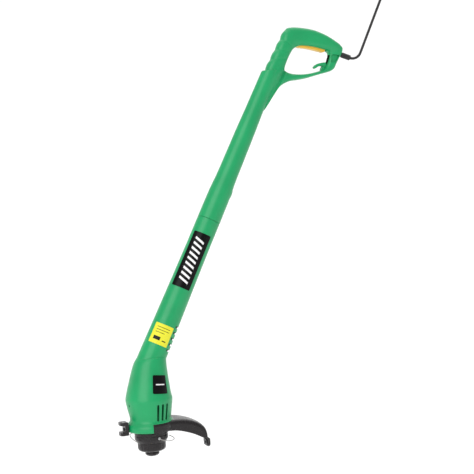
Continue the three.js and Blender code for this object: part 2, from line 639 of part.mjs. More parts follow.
// ---- spool head ----------------------------------------------------------------
const EYELET = { bearing: THREE.MathUtils.degToRad(-81), z: 43 };
const eyelets = [EYELET.bearing, EYELET.bearing + Math.PI];
const radial = (geometry, bearing) =>
  geometry.rotateY(Math.PI / 2).rotateZ(bearing).translate(0, 0, EYELET.z);

function spoolHousing() {
  const drum = ring([[SHAFT_R + GAP, 56], [DRUM_R - 1.2, 56], [DRUM_R, 54.8], [DRUM_R, 39], [32.6, 31.7],
    [29.8, 31.7], [34.4, 40], [34.4, 53], [9, 53], [9, 32], [SHAFT_R + GAP, 32]], 28);
  return cut(solidOf(drum), ...eyelets.map((bearing) => solidOf(radial(rod(2.5, 25, 50, 8), bearing))));
}
add('spool_housing', spoolHousing(), black);
eyelets.forEach((bearing, i) => {
  const shape = ring([[1.2, 33.6], [2.2, 33.6], [2.2, 37.6], [3.1, 37.6], [2.9, 38.6], [1.2, 38.6]], 8);
  add(`line_eyelet_${i ? 'b' : 'a'}`, radial(shape, bearing), steel);
});
add('spool_cap', ring([[17.2, 12.4], [25, 12.4], [29.6, 15.2], [CAP_R, 19], [CAP_R, 31.4], [28.9, 31.4],
  [28.9, 19.5], [27.5, 17], [25, 15.2], [17.2, 15.2]], 28), black);
add('cutting_line_a', strand([[5.2, -33.2, 43], [6.2, -39, 42.6], [10, -43, 41], [18, -45, 38.6],
  [28, -43, 36.6], [38, -36, 36], [45, -24, 36.6], [45.5, -12, 38], [42, 1, 39.6]], LINE_R, 6, 22), nylon);
add('cutting_line_b', strand([[-5.2, 33.2, 43], [-6.6, 39, 43.4], [-14, 42.5, 45], [-27, 38.5, 47.6],
  [-38, 29, 49.4], [-45, 14, 48.6], [-46, -2, 45], [-42.5, -14, 40.6],
  [-37.5, -22, 36.4]], LINE_R, 6, 22), nylon);

// The reel and the bump knob move up together against the feed spring.
add('reel', ring([[9.6, 17.6], [27, 17.6], [27, 19.4], [15, 19.4], [15, 41.6], [27, 41.6], [27, 43.4],
  [9.6, 43.4]], 20), cream);
add('wound_line', ring([[15.4, 19.8], [24.5, 19.8], [25.5, 24], [24.6, 28], [25.6, 32], [24.8, 36],
  [25, 41.2], [15.4, 41.2]], 16), nylon);
add('bump_knob', turned([[0, 0], [8, 0], [12.4, 1.6], [15.2, 4], [15.9, 6], [15.4, 8.6], [14.2, 9.4],
  [14.2, 17.3], [0, 17.3]], 24), black);
add('spring_seat', pipe(9.5, 13.4, 43.8, 45, 20), steel);
add('feed_spring', coil(11.4, 0.7, 45.4, 52.6, 3.5), steel);

export default group;
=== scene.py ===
"""String trimmer: the looks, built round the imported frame.

Shapes are worked out in millimetres from the foot of the bump knob, with X to the rear, Z up
along the spool axis and Y = 0 the split plane, and are carried to the frame in metres.
"""

import json
import math

import bmesh
import bpy
import numpy as np
from mathutils import Matrix, Vector


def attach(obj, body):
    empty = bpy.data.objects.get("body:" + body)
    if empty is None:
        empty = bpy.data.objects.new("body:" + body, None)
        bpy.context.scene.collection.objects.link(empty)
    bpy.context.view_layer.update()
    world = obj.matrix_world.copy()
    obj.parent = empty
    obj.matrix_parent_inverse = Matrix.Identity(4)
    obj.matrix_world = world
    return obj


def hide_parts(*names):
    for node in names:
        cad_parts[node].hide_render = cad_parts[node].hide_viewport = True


bl_info = {
    "name": "String trimmer",
    "version": (1, 0, 0),
    "blender": (4, 5, 0),
    "location": "3D View > Sidebar > Trimmer",
    "description": "Builds the skins, finishes and stage of a corded string trimmer",
    "category": "Object",
}

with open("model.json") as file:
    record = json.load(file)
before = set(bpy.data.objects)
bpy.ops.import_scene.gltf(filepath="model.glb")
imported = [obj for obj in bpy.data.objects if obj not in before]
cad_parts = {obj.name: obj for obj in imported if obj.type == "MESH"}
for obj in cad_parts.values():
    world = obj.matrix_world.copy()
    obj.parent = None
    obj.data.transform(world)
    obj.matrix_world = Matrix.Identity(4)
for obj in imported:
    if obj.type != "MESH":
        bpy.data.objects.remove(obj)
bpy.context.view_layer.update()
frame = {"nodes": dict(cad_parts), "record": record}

# ---- shared geometry -----------------------------------------------------------------
GRIP = np.array([460.0, 0.0, 922.0])  # the frame's origin, from the foot of the bump knob
TILT = math.radians(27.8)  # tube axis, leaning back
BEND_Z = 194.0  # where the tube axis meets the spool axis
COLLAR_Z = 851.0  # flat top of the collar below the front post
BAND_TOP = 77.4  # top edge of the guard's band
BAND_BEARING = 101.0  # how far the band reaches round to each side, in degrees from the rear
GAP = 0.3  # between pieces that meet
SEAM = 0.35  # depth and half width of the split seam's V

# length along the tube's axis and radius there

UPPER_TUBE = [(362.3, 26.4), (400, 26.2), (434, 25.6), (462, 24.0), (520, 22.9), (589, 21.9),
              (641, 20.6), (700, 19.6), (780, 18.4)]
LOWER_TUBE = [(-4, 31.0), (45, 30.4), (118, 29.1), (215, 27.6), (313, 26.5), (361.7, 26.4)]
# height, front edge and rear edge of the motor pod's round sections
POD_EDGES = [(58.7, -51.0, 51.0), (60, -52.0, 52.0), (63, -52.9, 52.9), (67, -53.1, 53.1),
             (71, -52.5, 52.5), (75, -50.2, 50.6), (79, -46.8, 48.4), (83, -44.9, 47.2),
             (88, -44.9, 47.1), (93, -45.9, 47.8), (102, -47.9, 49.2), (111, -49.8, 50.5),
             (121, -51.6, 51.8), (127, -52.3, 52.3), (130, -52.2, 52.0), (134, -51.6, 50.9),
             (142, -49.7, 49.4), (156, -45.9, 48.0), (169, -42.0, 46.5), (182, -38.2, 45.5), (195, -33.9, 44.6),
             (204, -30.5, 44.2), (211, -27.0, 44.4), (216, -23.6, 45.0), (220, -19.0, 45.6),
             (222, -12.0, 45.2)]


def to_frame(points):
    """Millimetres from the knob's foot to metres in the frame: subtract the grip and scale."""
    return (np.asarray(points, float) - GRIP) / 1000.0


def on_tube(points):
    """Turn points about Y by the tilt, then lift them to the bend: the tube's frame to the object's."""
    x, y, z = np.moveaxis(np.asarray(points, float), -1, 0)
    return np.stack([x * math.cos(TILT) + z * math.sin(TILT), y,
                     z * math.cos(TILT) - x * math.sin(TILT) + BEND_Z], -1)


def along_tube(s):
    """The tube axis at a length s from the bend, as x and z."""
    return s * math.sin(TILT), BEND_Z + s * math.cos(TILT)


def curve(points, steps, closed=False, measured=2):
    """A cubic curve through points. Its parameter is the chord length over the first `measured`
    columns, its tangent at a point the chord-weighted mean of the slopes at both sides."""
    p = np.asarray(points, float)
    if closed:
        p = np.concatenate([p[-1:], p, p[:2]])
    gaps = np.linalg.norm(np.diff(p[:, :measured], axis=0), axis=1)
    knots = np.concatenate([[0], np.cumsum(gaps)])
    slopes = np.diff(p, axis=0) / gaps[:, None]
    weight = (gaps[:-1] / (gaps[:-1] + gaps[1:]))[:, None]
    tangents = np.concatenate([
        slopes[:1], slopes[:-1] * (1 - weight) + slopes[1:] * weight, slopes[-1:]])
    low, high = (knots[1], knots[-2]) if closed else (0, knots[-1])
    u = low + (high - low) * np.asarray(steps)
    i = np.clip(np.searchsorted(knots, u, "right") - 1, 0, len(gaps) - 1)
    h, t = gaps[i][:, None], ((u - knots[i]) / gaps[i])[:, None]
    return ((1 + 2 * t) * (1 - t) ** 2 * p[i] + t * (1 - t) ** 2 * h * tangents[i]
            + t * t * (3 - 2 * t) * p[i + 1] + t * t * (t - 1) * h * tangents[i + 1])


def circle(count):
    """Even bearings round a full circle, from zero."""
    return np.arange(count) * 2 * np.pi / count


def softened(corners, radius, arc=5, fill=1, closed=True):
    """A polygon with soft corners: each corner becomes the quadratic arc that starts and ends at
    its radius along the two edges, and each edge gets `fill` even points between the arcs."""
    c = np.asarray(corners, float)
    r = np.broadcast_to(np.asarray(radius, float), c.shape[:-1]).copy()
    if not closed:
        r[..., 0] = r[..., -1] = 0

    def reach(other):
        length = np.linalg.norm(other - c, axis=-1)
        share = np.minimum(r, 0.48 * length) / np.maximum(length, 1e-9)
        return c + (other - c) * share[..., None]

    a, b = reach(np.roll(c, 1, -2)), reach(np.roll(c, -1, -2))
    t = np.linspace(0, 1, arc)[:, None]
    arcs = (1 - t) ** 2 * a[..., None, :] + 2 * t * (1 - t) * c[..., None, :] + t ** 2 * b[..., None, :]
    f = (np.arange(1, fill + 1) / (fill + 1))[:, None]
    edges = (1 - f) * b[..., None, :] + f * np.roll(a, -1, -2)[..., None, :]
    whole = np.concatenate([arcs, edges], -2)
    whole = whole.reshape(*c.shape[:-2], -1, c.shape[-1])
    return whole if closed else whole[..., :whole.shape[-2] - fill, :]


def seam_bearings(count, radius):
    """Even bearings round a circle, with close ones either side of the split plane's two seams."""
    even = (np.arange(count) + 0.5) * 2 * np.pi / count
    close = np.array([-0.7, -0.35, 0, 0.35, 0.7]) / radius
    return np.unique(np.concatenate([even, close % (2 * np.pi), np.pi + close]).round(6))


def seam_depth(y):
    """The split seam's depth at a distance y from the split plane: a V."""
    return SEAM * np.clip(1 - np.abs(y) / SEAM, 0, 1)


def turned(profile, bearings):
    """A [radius, height] profile turned about Z: x = r cos b, y = r sin b, z = h."""
    profile = np.asarray(profile, float)
    r, h = profile[:, :1], profile[:, 1:2]
    return np.stack([r * np.cos(bearings), r * np.sin(bearings), h + 0 * bearings], -1)


def pressed_in(profile, bearings, depth):
    """A [radius, height] profile turned about Z, its radius less a depth at each point and bearing."""
    r = profile[:, :1] - depth
    return np.stack([r * np.cos(bearings), r * np.sin(bearings), profile[:, 1:] + 0 * r], -1)


def in_rows(bearings):
    """Bearings ready to meet a column of heights: a list becomes a row, a grid stays as it is."""
    return np.asarray(bearings)[None, :] if np.ndim(bearings) == 1 else bearings


def swept_arc(loop, bearings, shrink=0.7):
    """A closed [radius, height] loop carried round Z over an arc, drawn in a little at both ends."""
    loop = np.asarray(loop, float)
    middle = loop.mean(0)
    scale = np.ones(len(bearings))
    reach = np.linalg.norm(loop - middle, axis=1).max()
    scale[[0, -1]] = 1 - shrink / reach
    scale[[1, -2]] = 1 - 0.3 * shrink / reach
    sections = middle + (loop - middle) * scale[:, None, None]
    b = np.asarray(bearings)[:, None]
    return np.stack([sections[..., 0] * np.cos(b), sections[..., 0] * np.sin(b), sections[..., 1]], -1)


def bar(lower, upper, half, radius=1.5, fill=3):
    """A bar whose section at each station is a soft rectangle between a lower and an upper point of
    the XZ plane, reaching `half` to each side of the split plane."""
    lower, upper = np.asarray(lower, float), np.asarray(upper, float)
    half = np.broadcast_to(np.asarray(half, float), len(lower))
    corners = np.stack([
        np.stack([side[:, 0], sign * half, side[:, 1]], -1)
        for side, sign in ((lower, -1), (lower, 1), (upper, 1), (upper, -1))], 1)
    return softened(corners, radius, 5, fill)


def soft_ends(grid, inset):
    """Round a grid's two ends: the end row shrinks by the inset, behind it come two fuller rows."""
    def rows(first, second):
        centre = first.mean(0)
        step = max(np.linalg.norm(second.mean(0) - centre), 1e-9)
        out = first - centre
        size = np.maximum(np.linalg.norm(out, axis=1, keepdims=True), 1e-9)
        back = first + (second - first) * min(1, inset / step)
        middle = first + (second - first) * min(1, 0.3 * inset / step)
        return [centre + out * np.maximum(1 - inset / size, 0.02),
                middle - out / size * 0.3 * inset, back]
    start, end = rows(grid[0], grid[1]), rows(grid[-1], grid[-2])
    return np.concatenate([start, grid[1:-1], end[::-1]])


def strand(route, radius):
    """A round strand along a smooth route: its section's axes are the route's normal across Z
    and the normal of both."""
    path = curve(route, np.linspace(0, 1, 120), measured=3)
    forward = np.gradient(path, axis=0)
    forward /= np.linalg.norm(forward, axis=1, keepdims=True)
    across = np.cross(forward, [0, 0, 1])
    across /= np.linalg.norm(across, axis=1, keepdims=True)
    upward = np.cross(across, forward)
    a = circle(12)[None, :, None]
    return path[:, None] + radius * (np.cos(a) * across[:, None] + np.sin(a) * upward[:, None])


# ---- meshes --------------------------------------------------------------------------
def grid_mesh(name, sheets, uv=None):
    """One closed mesh from grids of points. A grid closes round its columns. Along its rows it
    closes too if it is marked looped, and else ends in a pole at the mean of each end row."""
    corners, faces, places, count = [], [], [], 0
    for number, (grid, looped) in enumerate(sheets):
        rows, columns = grid.shape[:2]
        i, j = np.meshgrid(np.arange(rows if looped else rows - 1), np.arange(columns), indexing="ij")
        after_i, after_j = (i + 1) % rows, (j + 1) % columns
        quads = np.stack([i * columns + j, i * columns + after_j,
                          after_i * columns + after_j, after_i * columns + j], -1)
        faces += (count + quads.reshape(-1, 4)).tolist()
        corners.append(grid.reshape(-1, 3))
        if uv is not None:
            places.append(uv[number].reshape(-1, 2))
        if not looped:
            k, last, pole = np.arange(columns), (rows - 1) * columns, rows * columns
            following = (k + 1) % columns
            faces += (count + np.stack([following, k, 0 * k + pole], -1)).tolist()
            faces += (count + np.stack([last + k, last + following, 0 * k + pole + 1], -1)).tolist()
            corners.append(grid[[0, -1]].mean(1))
            if uv is not None:
                places.append(uv[number][[0, -1]].mean(1))
        count = sum(map(len, corners))
    mesh = bpy.data.meshes.new(name)
    mesh.from_pydata(to_frame(np.concatenate(corners)), [], faces)
    if uv is not None:
        loops = np.zeros(len(mesh.loops), int)
        mesh.loops.foreach_get("vertex_index", loops)
        layer = mesh.uv_layers.new(name="sheet")
        layer.data.foreach_set("uv", np.concatenate(places)[loops].ravel())
    work = bmesh.new()
    work.from_mesh(mesh)
    bmesh.ops.remove_doubles(work, verts=work.verts, dist=2e-6)
    bmesh.ops.dissolve_degenerate(work, edges=work.edges, dist=1e-6)
    bmesh.ops.recalc_face_normals(work, faces=work.faces)
    work.to_mesh(mesh)
    work.free()
    return mesh


def smooth_shaded(piece):
    """Shade the faces smooth, and keep edges sharper than 32 degrees crisp."""
    piece.data.polygons.foreach_set("use_smooth", [True] * len(piece.data.polygons))
    piece.data.set_sharp_from_angle(angle=math.radians(32))


def add_piece(name, sheets, material, body="frame", stands_for=(), uv=None, cutters=()):
    """Make a piece from grids, cut pockets and holes out of it, and set it on its body."""
    piece = bpy.data.objects.new(name, grid_mesh(name, sheets, uv))
    bpy.context.scene.collection.objects.link(piece)
    piece.data.materials.append(material)
    if cutters:
        carve(piece, cutters)
    smooth_shaded(piece)
    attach(piece, body)
    if stands_for:
        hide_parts(*stands_for)
    return piece


def carve(piece, cutters):
    """Cut closed shapes out of a piece. Their walls and floors take the cutter's own material."""
    for grid, material in cutters:
        mesh = grid_mesh("cutter", [(grid, False)])
        mesh.materials.append(material)
        tool = bpy.data.objects.new("cutter", mesh)
        bpy.context.scene.collection.objects.link(tool)
        modifier = piece.modifiers.new("cut", "BOOLEAN")
        modifier.operation, modifier.solver, modifier.object = "DIFFERENCE", "EXACT", tool
        modifier.material_mode = "TRANSFER"
        bpy.context.view_layer.update()
        evaluated = piece.evaluated_get(bpy.context.evaluated_depsgraph_get())
        result = bpy.data.meshes.new_from_object(evaluated)
        piece.modifiers.clear()
        old, piece.data = piece.data, result
        bpy.data.meshes.remove(old)
        bpy.data.objects.remove(tool)
        bpy.data.meshes.remove(mesh)
    piece.data.name = piece.name


def box_grid(low, high):
    """A block with soft upright edges: two rows of a soft rectangle."""
    (x0, y0, z0), (x1, y1, z1) = low, high
    x, y = softened([(x0, y0), (x1, y0), (x1, y1), (x0, y1)], 0.6, 4, 1).T
    return np.stack([np.stack([x, y, 0 * x + z], -1) for z in (z0, z1)])


def upright_slot(bearing, inner, outer, width, low, high):
    """A slot with round ends, run outwards along a bearing: a stadium loop at two distances."""
    half = width / 2
    a = np.linspace(0, np.pi, 9)
    top = np.stack([half * np.cos(a), high - half + half * np.sin(a)], -1)
    bottom = np.stack([-half * np.cos(a), low + half - half * np.sin(a)], -1)
    across, z = np.concatenate([top, bottom]).T
    c, s = math.cos(bearing), math.sin(bearing)
    return np.stack([np.stack([r * c - across * s, r * s + across * c, z], -1)
                     for r in (inner, outer)])


def outward_well(bearing, height, radius, inner, outer, sides):
    """A round well run outwards along a bearing: a circle square to it, at two distances."""
    a = circle(sides)
    c, s = math.cos(bearing), math.sin(bearing)
    across, z = radius * np.cos(a), height + radius * np.sin(a)
    return np.stack([np.stack([r * c - across * s, r * s + across * c, z], -1)
                     for r in (inner, outer)])


def cross_well(x, z, radius, floor, outside=60.0):
    """A round well across the object: a circle in the XZ plane, from a floor outwards along Y."""
    a = circle(40)
    return np.stack([np.stack([x + radius * np.cos(a), 0 * a + y, z + radius * np.sin(a)], -1)
                     for y in (floor, outside)])


# ---- finishes ------------------------------------------------------------------------
def new_material(name, colour, roughness, metallic=0.0):
    """A material with a principled shader, and the colour and roughness it shows in a plain view."""
    material = bpy.data.materials.new(name)
    material.use_nodes = True
    material.diffuse_color = (*colour, 1)
    shader = material.node_tree.nodes["Principled BSDF"]
    shader.inputs["Base Color"].default_value = (*colour, 1)
    shader.inputs["Roughness"].default_value = roughness
    shader.inputs["Metallic"].default_value = metallic
    return material, material.node_tree, shader


def noise(tree, scale, detail=3.0, stretch=(1, 1, 1)):
    """Noise on the object's own coordinates, in lumps of about one over the scale, in metres."""
    place = tree.nodes.new("ShaderNodeTexCoord")
    mapping = tree.nodes.new("ShaderNodeMapping")
    mapping.inputs["Scale"].default_value = stretch
    texture = tree.nodes.new("ShaderNodeTexNoise")
    texture.inputs["Scale"].default_value = scale
    texture.inputs["Detail"].default_value = detail
    tree.links.new(place.outputs["Object"], mapping.inputs["Vector"])
    tree.links.new(mapping.outputs["Vector"], texture.inputs["Vector"])
    return texture.outputs["Fac"]


def ranged(tree, value, low, high, into_low=0.0, into_high=1.0):
    """A value's stretch from low to high, mapped to another stretch and clamped."""
    node = tree.nodes.new("ShaderNodeMapRange")
    for name, number in (("From Min", low), ("From Max", high),
                         ("To Min", into_low), ("To Max", into_high)):
        node.inputs[name].default_value = number
    tree.links.new(value, node.inputs["Value"])
    return node.outputs["Result"]


def mixed(tree, factor, first, second):
    """One colour going over to another by a factor. A colour is three numbers or a socket."""
    node = tree.nodes.new("ShaderNodeMix")
    node.data_type = "RGBA"
    for socket, colour in ((node.inputs[6], first), (node.inputs[7], second)):
        if isinstance(colour, bpy.types.NodeSocket):
            tree.links.new(colour, socket)
        else:
            socket.default_value = (*colour, 1)
    tree.links.new(factor, node.inputs[0])
    return node.outputs[2]


def bumped(tree, shader, height, distance, strength):
    """Raise the surface by a share of a distance in metres, through its shading."""
    bump = tree.nodes.new("ShaderNodeBump")
    bump.inputs["Strength"].default_value = strength
    bump.inputs["Distance"].default_value = distance
    tree.links.new(height, bump.inputs["Height"])
    tree.links.new(bump.outputs["Normal"], shader.inputs["Normal"])


def shade(colour, factor):
    """A colour made lighter or darker by a factor."""
    return tuple(min(1.0, channel * factor) for channel in colour)


def moulded_plastic(name, colour, roughness, grain=0.00006, grain_scale=1500.0, worn=1.25, coat=0.0):
    """Moulded plastic: slow flow clouding in its colour, a fine spark-eroded grain, patchy gloss,
    and lighter rubbed edges where the surface is most convex."""
    material, tree, shader = new_material(name, colour, roughness)
    clouds = ranged(tree, noise(tree, 14.0, 2.0), 0.3, 0.7)
    body = mixed(tree, clouds, shade(colour, 0.93), shade(colour, 1.05))
    geometry = tree.nodes.new("ShaderNodeNewGeometry")
    rubbed = ranged(tree, geometry.outputs["Pointiness"], 0.515, 0.6, 0.0, 0.5)
    body = mixed(tree, rubbed, body, shade(colour, worn))
    tree.links.new(body, shader.inputs["Base Color"])
    patches = noise(tree, 120.0, 4.0)
    tree.links.new(ranged(tree, patches, 0.3, 0.7, roughness - 0.04, roughness + 0.05),
                   shader.inputs["Roughness"])
    bumped(tree, shader, noise(tree, grain_scale, 2.0), grain, 0.6)
    shader.inputs["Specular IOR Level"].default_value = 0.4
    shader.inputs["Coat Weight"].default_value = coat
    shader.inputs["Coat Roughness"].default_value = 0.2
    return material


def metal(name, colour, roughness, brushed=(1, 1, 1)):
    """Bare metal: a drawn or brushed streak in its gloss and faint colour mottling."""
    material, tree, shader = new_material(name, colour, roughness, 1.0)
    streaks = noise(tree, 400.0, 3.0, brushed)
    tree.links.new(mixed(tree, streaks, shade(colour, 0.85), shade(colour, 1.1)),
                   shader.inputs["Base Color"])
    tree.links.new(ranged(tree, streaks, 0.3, 0.7, roughness - 0.08, roughness + 0.1),
                   shader.inputs["Roughness"])
    bumped(tree, shader, streaks, 0.00004, 0.5)
    return material


def rubber(name, colour):
    """Matt rubber: a fine pebbled skin with a dusty bloom in patches."""
    material, tree, shader = new_material(name, colour, 0.62)
    bloom = ranged(tree, noise(tree, 60.0, 4.0), 0.35, 0.75)
    tree.links.new(mixed(tree, bloom, colour, shade(colour, 1.5)), shader.inputs["Base Color"])
    bumped(tree, shader, noise(tree, 2200.0, 2.0), 0.00005, 0.6)
    shader.inputs["Sheen Weight"].default_value = 0.08
    return material


def nylon(name, colour):
    """Drawn monofilament: clear-looking, smooth, with long faint streaks."""
    material, tree, shader = new_material(name, colour, 0.22)
    streaks = noise(tree, 900.0, 2.0)
    tree.links.new(mixed(tree, streaks, shade(colour, 0.9), colour), shader.inputs["Base Color"])
    bumped(tree, shader, streaks, 0.00001, 0.4)
    shader.inputs["Subsurface Weight"].default_value = 0.15
    shader.inputs["Subsurface Scale"].default_value = 0.001
    return material


def combined(tree, first, second, operation="MULTIPLY"):
    """Two masks combined, by their product or their maximum."""
    node = tree.nodes.new("ShaderNodeMath")
    node.operation = operation
    tree.links.new(first, node.inputs[0])
    tree.links.new(second, node.inputs[1])
    return node.outputs[0]


def between(tree, value, low, high, soft):
    """One where a value lies between two limits, falling to zero over a soft margin outside."""
    rising = ranged(tree, value, low - soft, low + soft)
    return combined(tree, rising, ranged(tree, value, high - soft, high + soft, 1.0, 0.0))


def printed_film(name, ground, ink, marks):
    """Printed film: flat ink marks on a cloudy ground. Each mark is a rectangle
    of the sheet's own millimetres: low and high across, low and high along, and a slant."""
    material, tree, shader = new_material(name, ground, 0.3)
    place = tree.nodes.new("ShaderNodeUVMap")
    place.uv_map = "sheet"
    split = tree.nodes.new("ShaderNodeSeparateXYZ")
    tree.links.new(place.outputs["UV"], split.inputs["Vector"])
    across, along = split.outputs["X"], split.outputs["Y"]
    printed = None
    for low_u, high_u, low_v, high_v, slant in marks:
        lean = tree.nodes.new("ShaderNodeMath")
        lean.operation = "MULTIPLY_ADD"
        lean.inputs[1].default_value = slant
        tree.links.new(across, lean.inputs[0])
        tree.links.new(along, lean.inputs[2])
        mark = combined(tree, between(tree, across, low_u, high_u, 0.12),
                        between(tree, lean.outputs[0], low_v, high_v, 0.12))
        printed = mark if printed is None else combined(tree, printed, mark, "MAXIMUM")
    clouds = ranged(tree, noise(tree, 40.0, 3.0), 0.3, 0.7)
    body = mixed(tree, clouds, shade(ground, 0.94), shade(ground, 1.04))
    tree.links.new(mixed(tree, printed, body, ink), shader.inputs["Base Color"])
    bumped(tree, shader, noise(tree, 260.0, 2.0), 0.00003, 0.4)
    shader.inputs["Specular IOR Level"].default_value = 0.15
    return material


# ---- settings ------------------------------------------------------------------------
def colour_setting(name, description, default):
    return bpy.props.FloatVectorProperty(
        name=name, description=description, default=default, size=3, subtype="COLOR", min=0, max=1)


class TrimmerColours(bpy.types.PropertyGroup):
    """Colours of the trimmer's plastics, rubber and line."""

    shells: colour_setting("Shells", "Colour of the handle and motor shells", (0.005, 0.335, 0.112))
    fittings: colour_setting("Fittings", "Colour of the guard, bracket and spool", (0.010, 0.008, 0.009))
    trigger: colour_setting("Trigger", "Colour of the trigger", (0.80, 0.46, 0.045))
    cord: colour_setting("Cord", "Colour of the cord, sleeve and plug", (0.010, 0.009, 0.010))
    film: colour_setting("Label", "Ground colour of the tube label", (0.0012, 0.0012, 0.0015))
    notice: colour_setting("Side label", "Ground colour of the small label", (0.80, 0.77, 0.05))
    line: colour_setting("Line", "Colour of the cutting line", (0.34, 0.33, 0.32))


class TrimmerSizes(bpy.types.PropertyGroup):
    """Sizes that can be changed without moving a piece out of its place."""

    grip_thickness: bpy.props.FloatProperty(
        name="Grip thickness", description="The top bar and front post, across",
        default=0.034, min=0.03, max=0.036, unit="LENGTH")
    cord_diameter: bpy.props.FloatProperty(
        name="Cord diameter", description="The mains cord's outer sheath",
        default=0.0062, min=0.005, max=0.007, unit="LENGTH")
    line_diameter: bpy.props.FloatProperty(
        name="Line diameter", description="The cutting line",
        default=0.0016, min=0.001, max=0.002, unit="LENGTH")
    grip_ribs: bpy.props.IntProperty(
        name="Grip ribs", description="Swellings along the front post", default=4, min=2, max=6)


def colour(name):
    return tuple(getattr(bpy.context.scene.trimmer_colours, name))


def shell_plastic():
    return bpy.data.materials.get("green_shell") or moulded_plastic(
        "green_shell", colour("shells"), 0.36, worn=1.3, coat=0.08)


def dark_plastic():
    return bpy.data.materials.get("dark_fitting") or moulded_plastic(
        "dark_fitting", colour("fittings"), 0.27, grain=0.00008, grain_scale=1100.0, worn=2.2)


def cord_rubber():
    return bpy.data.materials.get("cord_rubber") or rubber("cord_rubber", colour("cord"))


# Painted shade: a darkened copy of the shell plastic, put on the walls and floors of deep openings.
def painted_deep_shade_plastic():
    """The inside of a deep opening: the shells' colour darkened to near black, painted shade standing in for
    the shade that falls in it.
    """
    return bpy.data.materials.get("deep_inside") or moulded_plastic(
        "deep_inside", shade(colour("shells"), 0.06), 0.7, worn=1.0)


# Painted shade: a darkened copy of the shell plastic, put on the walls and floors of shallow openings.
def shadow_plastic():
    """The floor and walls of a shallow opening, in the shells' own plastic darkened as painted shade."""
    return bpy.data.materials.get("vent_inside") or moulded_plastic(
        "vent_inside", shade(colour("shells"), 0.36), 0.6, worn=1.0)


# ---- stage ---------------------------------------------------------------------------
CAMERA_PLACE = (-1.23708, -2.38718, -0.36007)
CAMERA_BEARING, CAMERA_DROP, CAMERA_ROLL = math.radians(23.0), math.radians(2.0), math.radians(3.5)
CAMERA_LENS = 85.856


class TRIMMER_OT_stage(bpy.types.Operator):
    """Set the camera, the pale floor and the soft lights"""

    bl_idname = "trimmer.stage"
    bl_label = "Stage"

    def camera(self, scene):
        """Forward is the bearing from +Y, dropped below level; right and up are then rolled."""
        p, e, roll = CAMERA_BEARING, CAMERA_DROP, CAMERA_ROLL
        forward = np.array([math.sin(p) * math.cos(e), math.cos(p) * math.cos(e), -math.sin(e)])
        level = np.array([math.cos(p), -math.sin(p), 0])
        over = np.cross(level, forward)
        right = math.cos(roll) * level - math.sin(roll) * over
        up = math.sin(roll) * level + math.cos(roll) * over
        data = bpy.data.cameras.new("camera")
        data.lens, data.sensor_width = CAMERA_LENS, 36.0
        data.clip_start, data.clip_end = 0.1, 50.0
        camera = bpy.data.objects.new("camera", data)
        scene.collection.objects.link(camera)
        camera.matrix_world = Matrix.Translation(CAMERA_PLACE) @ Matrix(
            np.stack([right, up, -forward], -1).tolist()).to_4x4()
        scene.camera = camera

    def floor(self, scene):
        """A wide level sheet at the foot of the bump knob, rising to the far side in a soft curve."""
        height = to_frame([0, 0, 0])[2]
        run = np.array([[-30, 0], [8, 0], [14, 0.6], [17, 3], [18, 9]])
        profile = curve(run, np.linspace(0, 1, 40))
        x = np.linspace(-30, 30, 5)
        grid = np.stack([np.broadcast_to(x, (40, 5)), np.broadcast_to(profile[:, :1], (40, 5)),
                         height + np.broadcast_to(profile[:, 1:], (40, 5))], -1)
        i, j = np.meshgrid(np.arange(39), np.arange(4), indexing="ij")
        quads = np.stack([i * 5 + j, i * 5 + j + 1, i * 5 + j + 6, i * 5 + j + 5], -1).reshape(-1, 4)
        mesh = bpy.data.meshes.new("floor")
        mesh.from_pydata(grid.reshape(-1, 3), [], quads.tolist())
        mesh.polygons.foreach_set("use_smooth", [True] * len(mesh.polygons))
        floor = bpy.data.objects.new("floor", mesh)
        scene.collection.objects.link(floor)
        material, tree, shader = new_material("floor", (0.95, 0.95, 0.95), 0.9)
        tree.links.new(mixed(tree, noise(tree, 3.0), (0.94, 0.94, 0.94), (0.96, 0.96, 0.96)),
                       shader.inputs["Base Color"])
        mesh.materials.append(material)

    def light(self, scene, name, towards, spread, strength):
        """A broad far lamp shining from a direction, with its disc this many degrees across."""
        data = bpy.data.lights.new(name, "SUN")
        data.angle, data.energy = math.radians(spread), strength
        lamp = bpy.data.objects.new(name, data)
        scene.collection.objects.link(lamp)
        lamp.matrix_world = Vector(towards).to_track_quat("Z", "Y").to_matrix().to_4x4()

    def sky(self, scene):
        """An even white surround, seen at full white and lighting the object more softly."""
        world = bpy.data.worlds.new("studio")
        world.use_nodes = True
        tree = world.node_tree
        path = tree.nodes.new("ShaderNodeLightPath")
        strength = ranged(tree, path.outputs["Is Camera Ray"], 0, 1, 0.56, 1.1)
        tree.nodes["Background"].inputs["Color"].default_value = (1, 1, 1, 1)
        tree.links.new(strength, tree.nodes["Background"].inputs["Strength"])
        scene.world = world
        scene.view_settings.view_transform = "Standard"

    def execute(self, context):
        scene = context.scene
        self.camera(scene)
        self.floor(scene)
        self.light(scene, "key", (-0.66, -0.60, 0.45), 50, 1.38)
        self.light(scene, "top", (0.1, 0.15, 1.0), 70, 1.1)
        self.light(scene, "back", (0.5, 0.8, 0.35), 60, 0.8)
        self.sky(scene)
        return {"FINISHED"}


# ---- cord ----------------------------------------------------------------------------
SLEEVE_ROOT = (532.0, 887.0)
SLEEVE_DOWN = math.radians(-18.5)
SLEEVE_LENGTH = 26.0
CORD_UP = math.radians(63.5)
CORD_BEND = 25.0
CORD_LENGTH = 300.0


def from_sleeve(points):
    """Points about Z to the sleeve's frame: Z becomes the sleeve's direction, from its root."""
    x, y, z = np.moveaxis(np.asarray(points, float), -1, 0)
    c, s = math.cos(SLEEVE_DOWN), math.sin(SLEEVE_DOWN)
    return np.stack([SLEEVE_ROOT[0] + z * c + x * s, y, SLEEVE_ROOT[1] + z * s - x * c], -1)


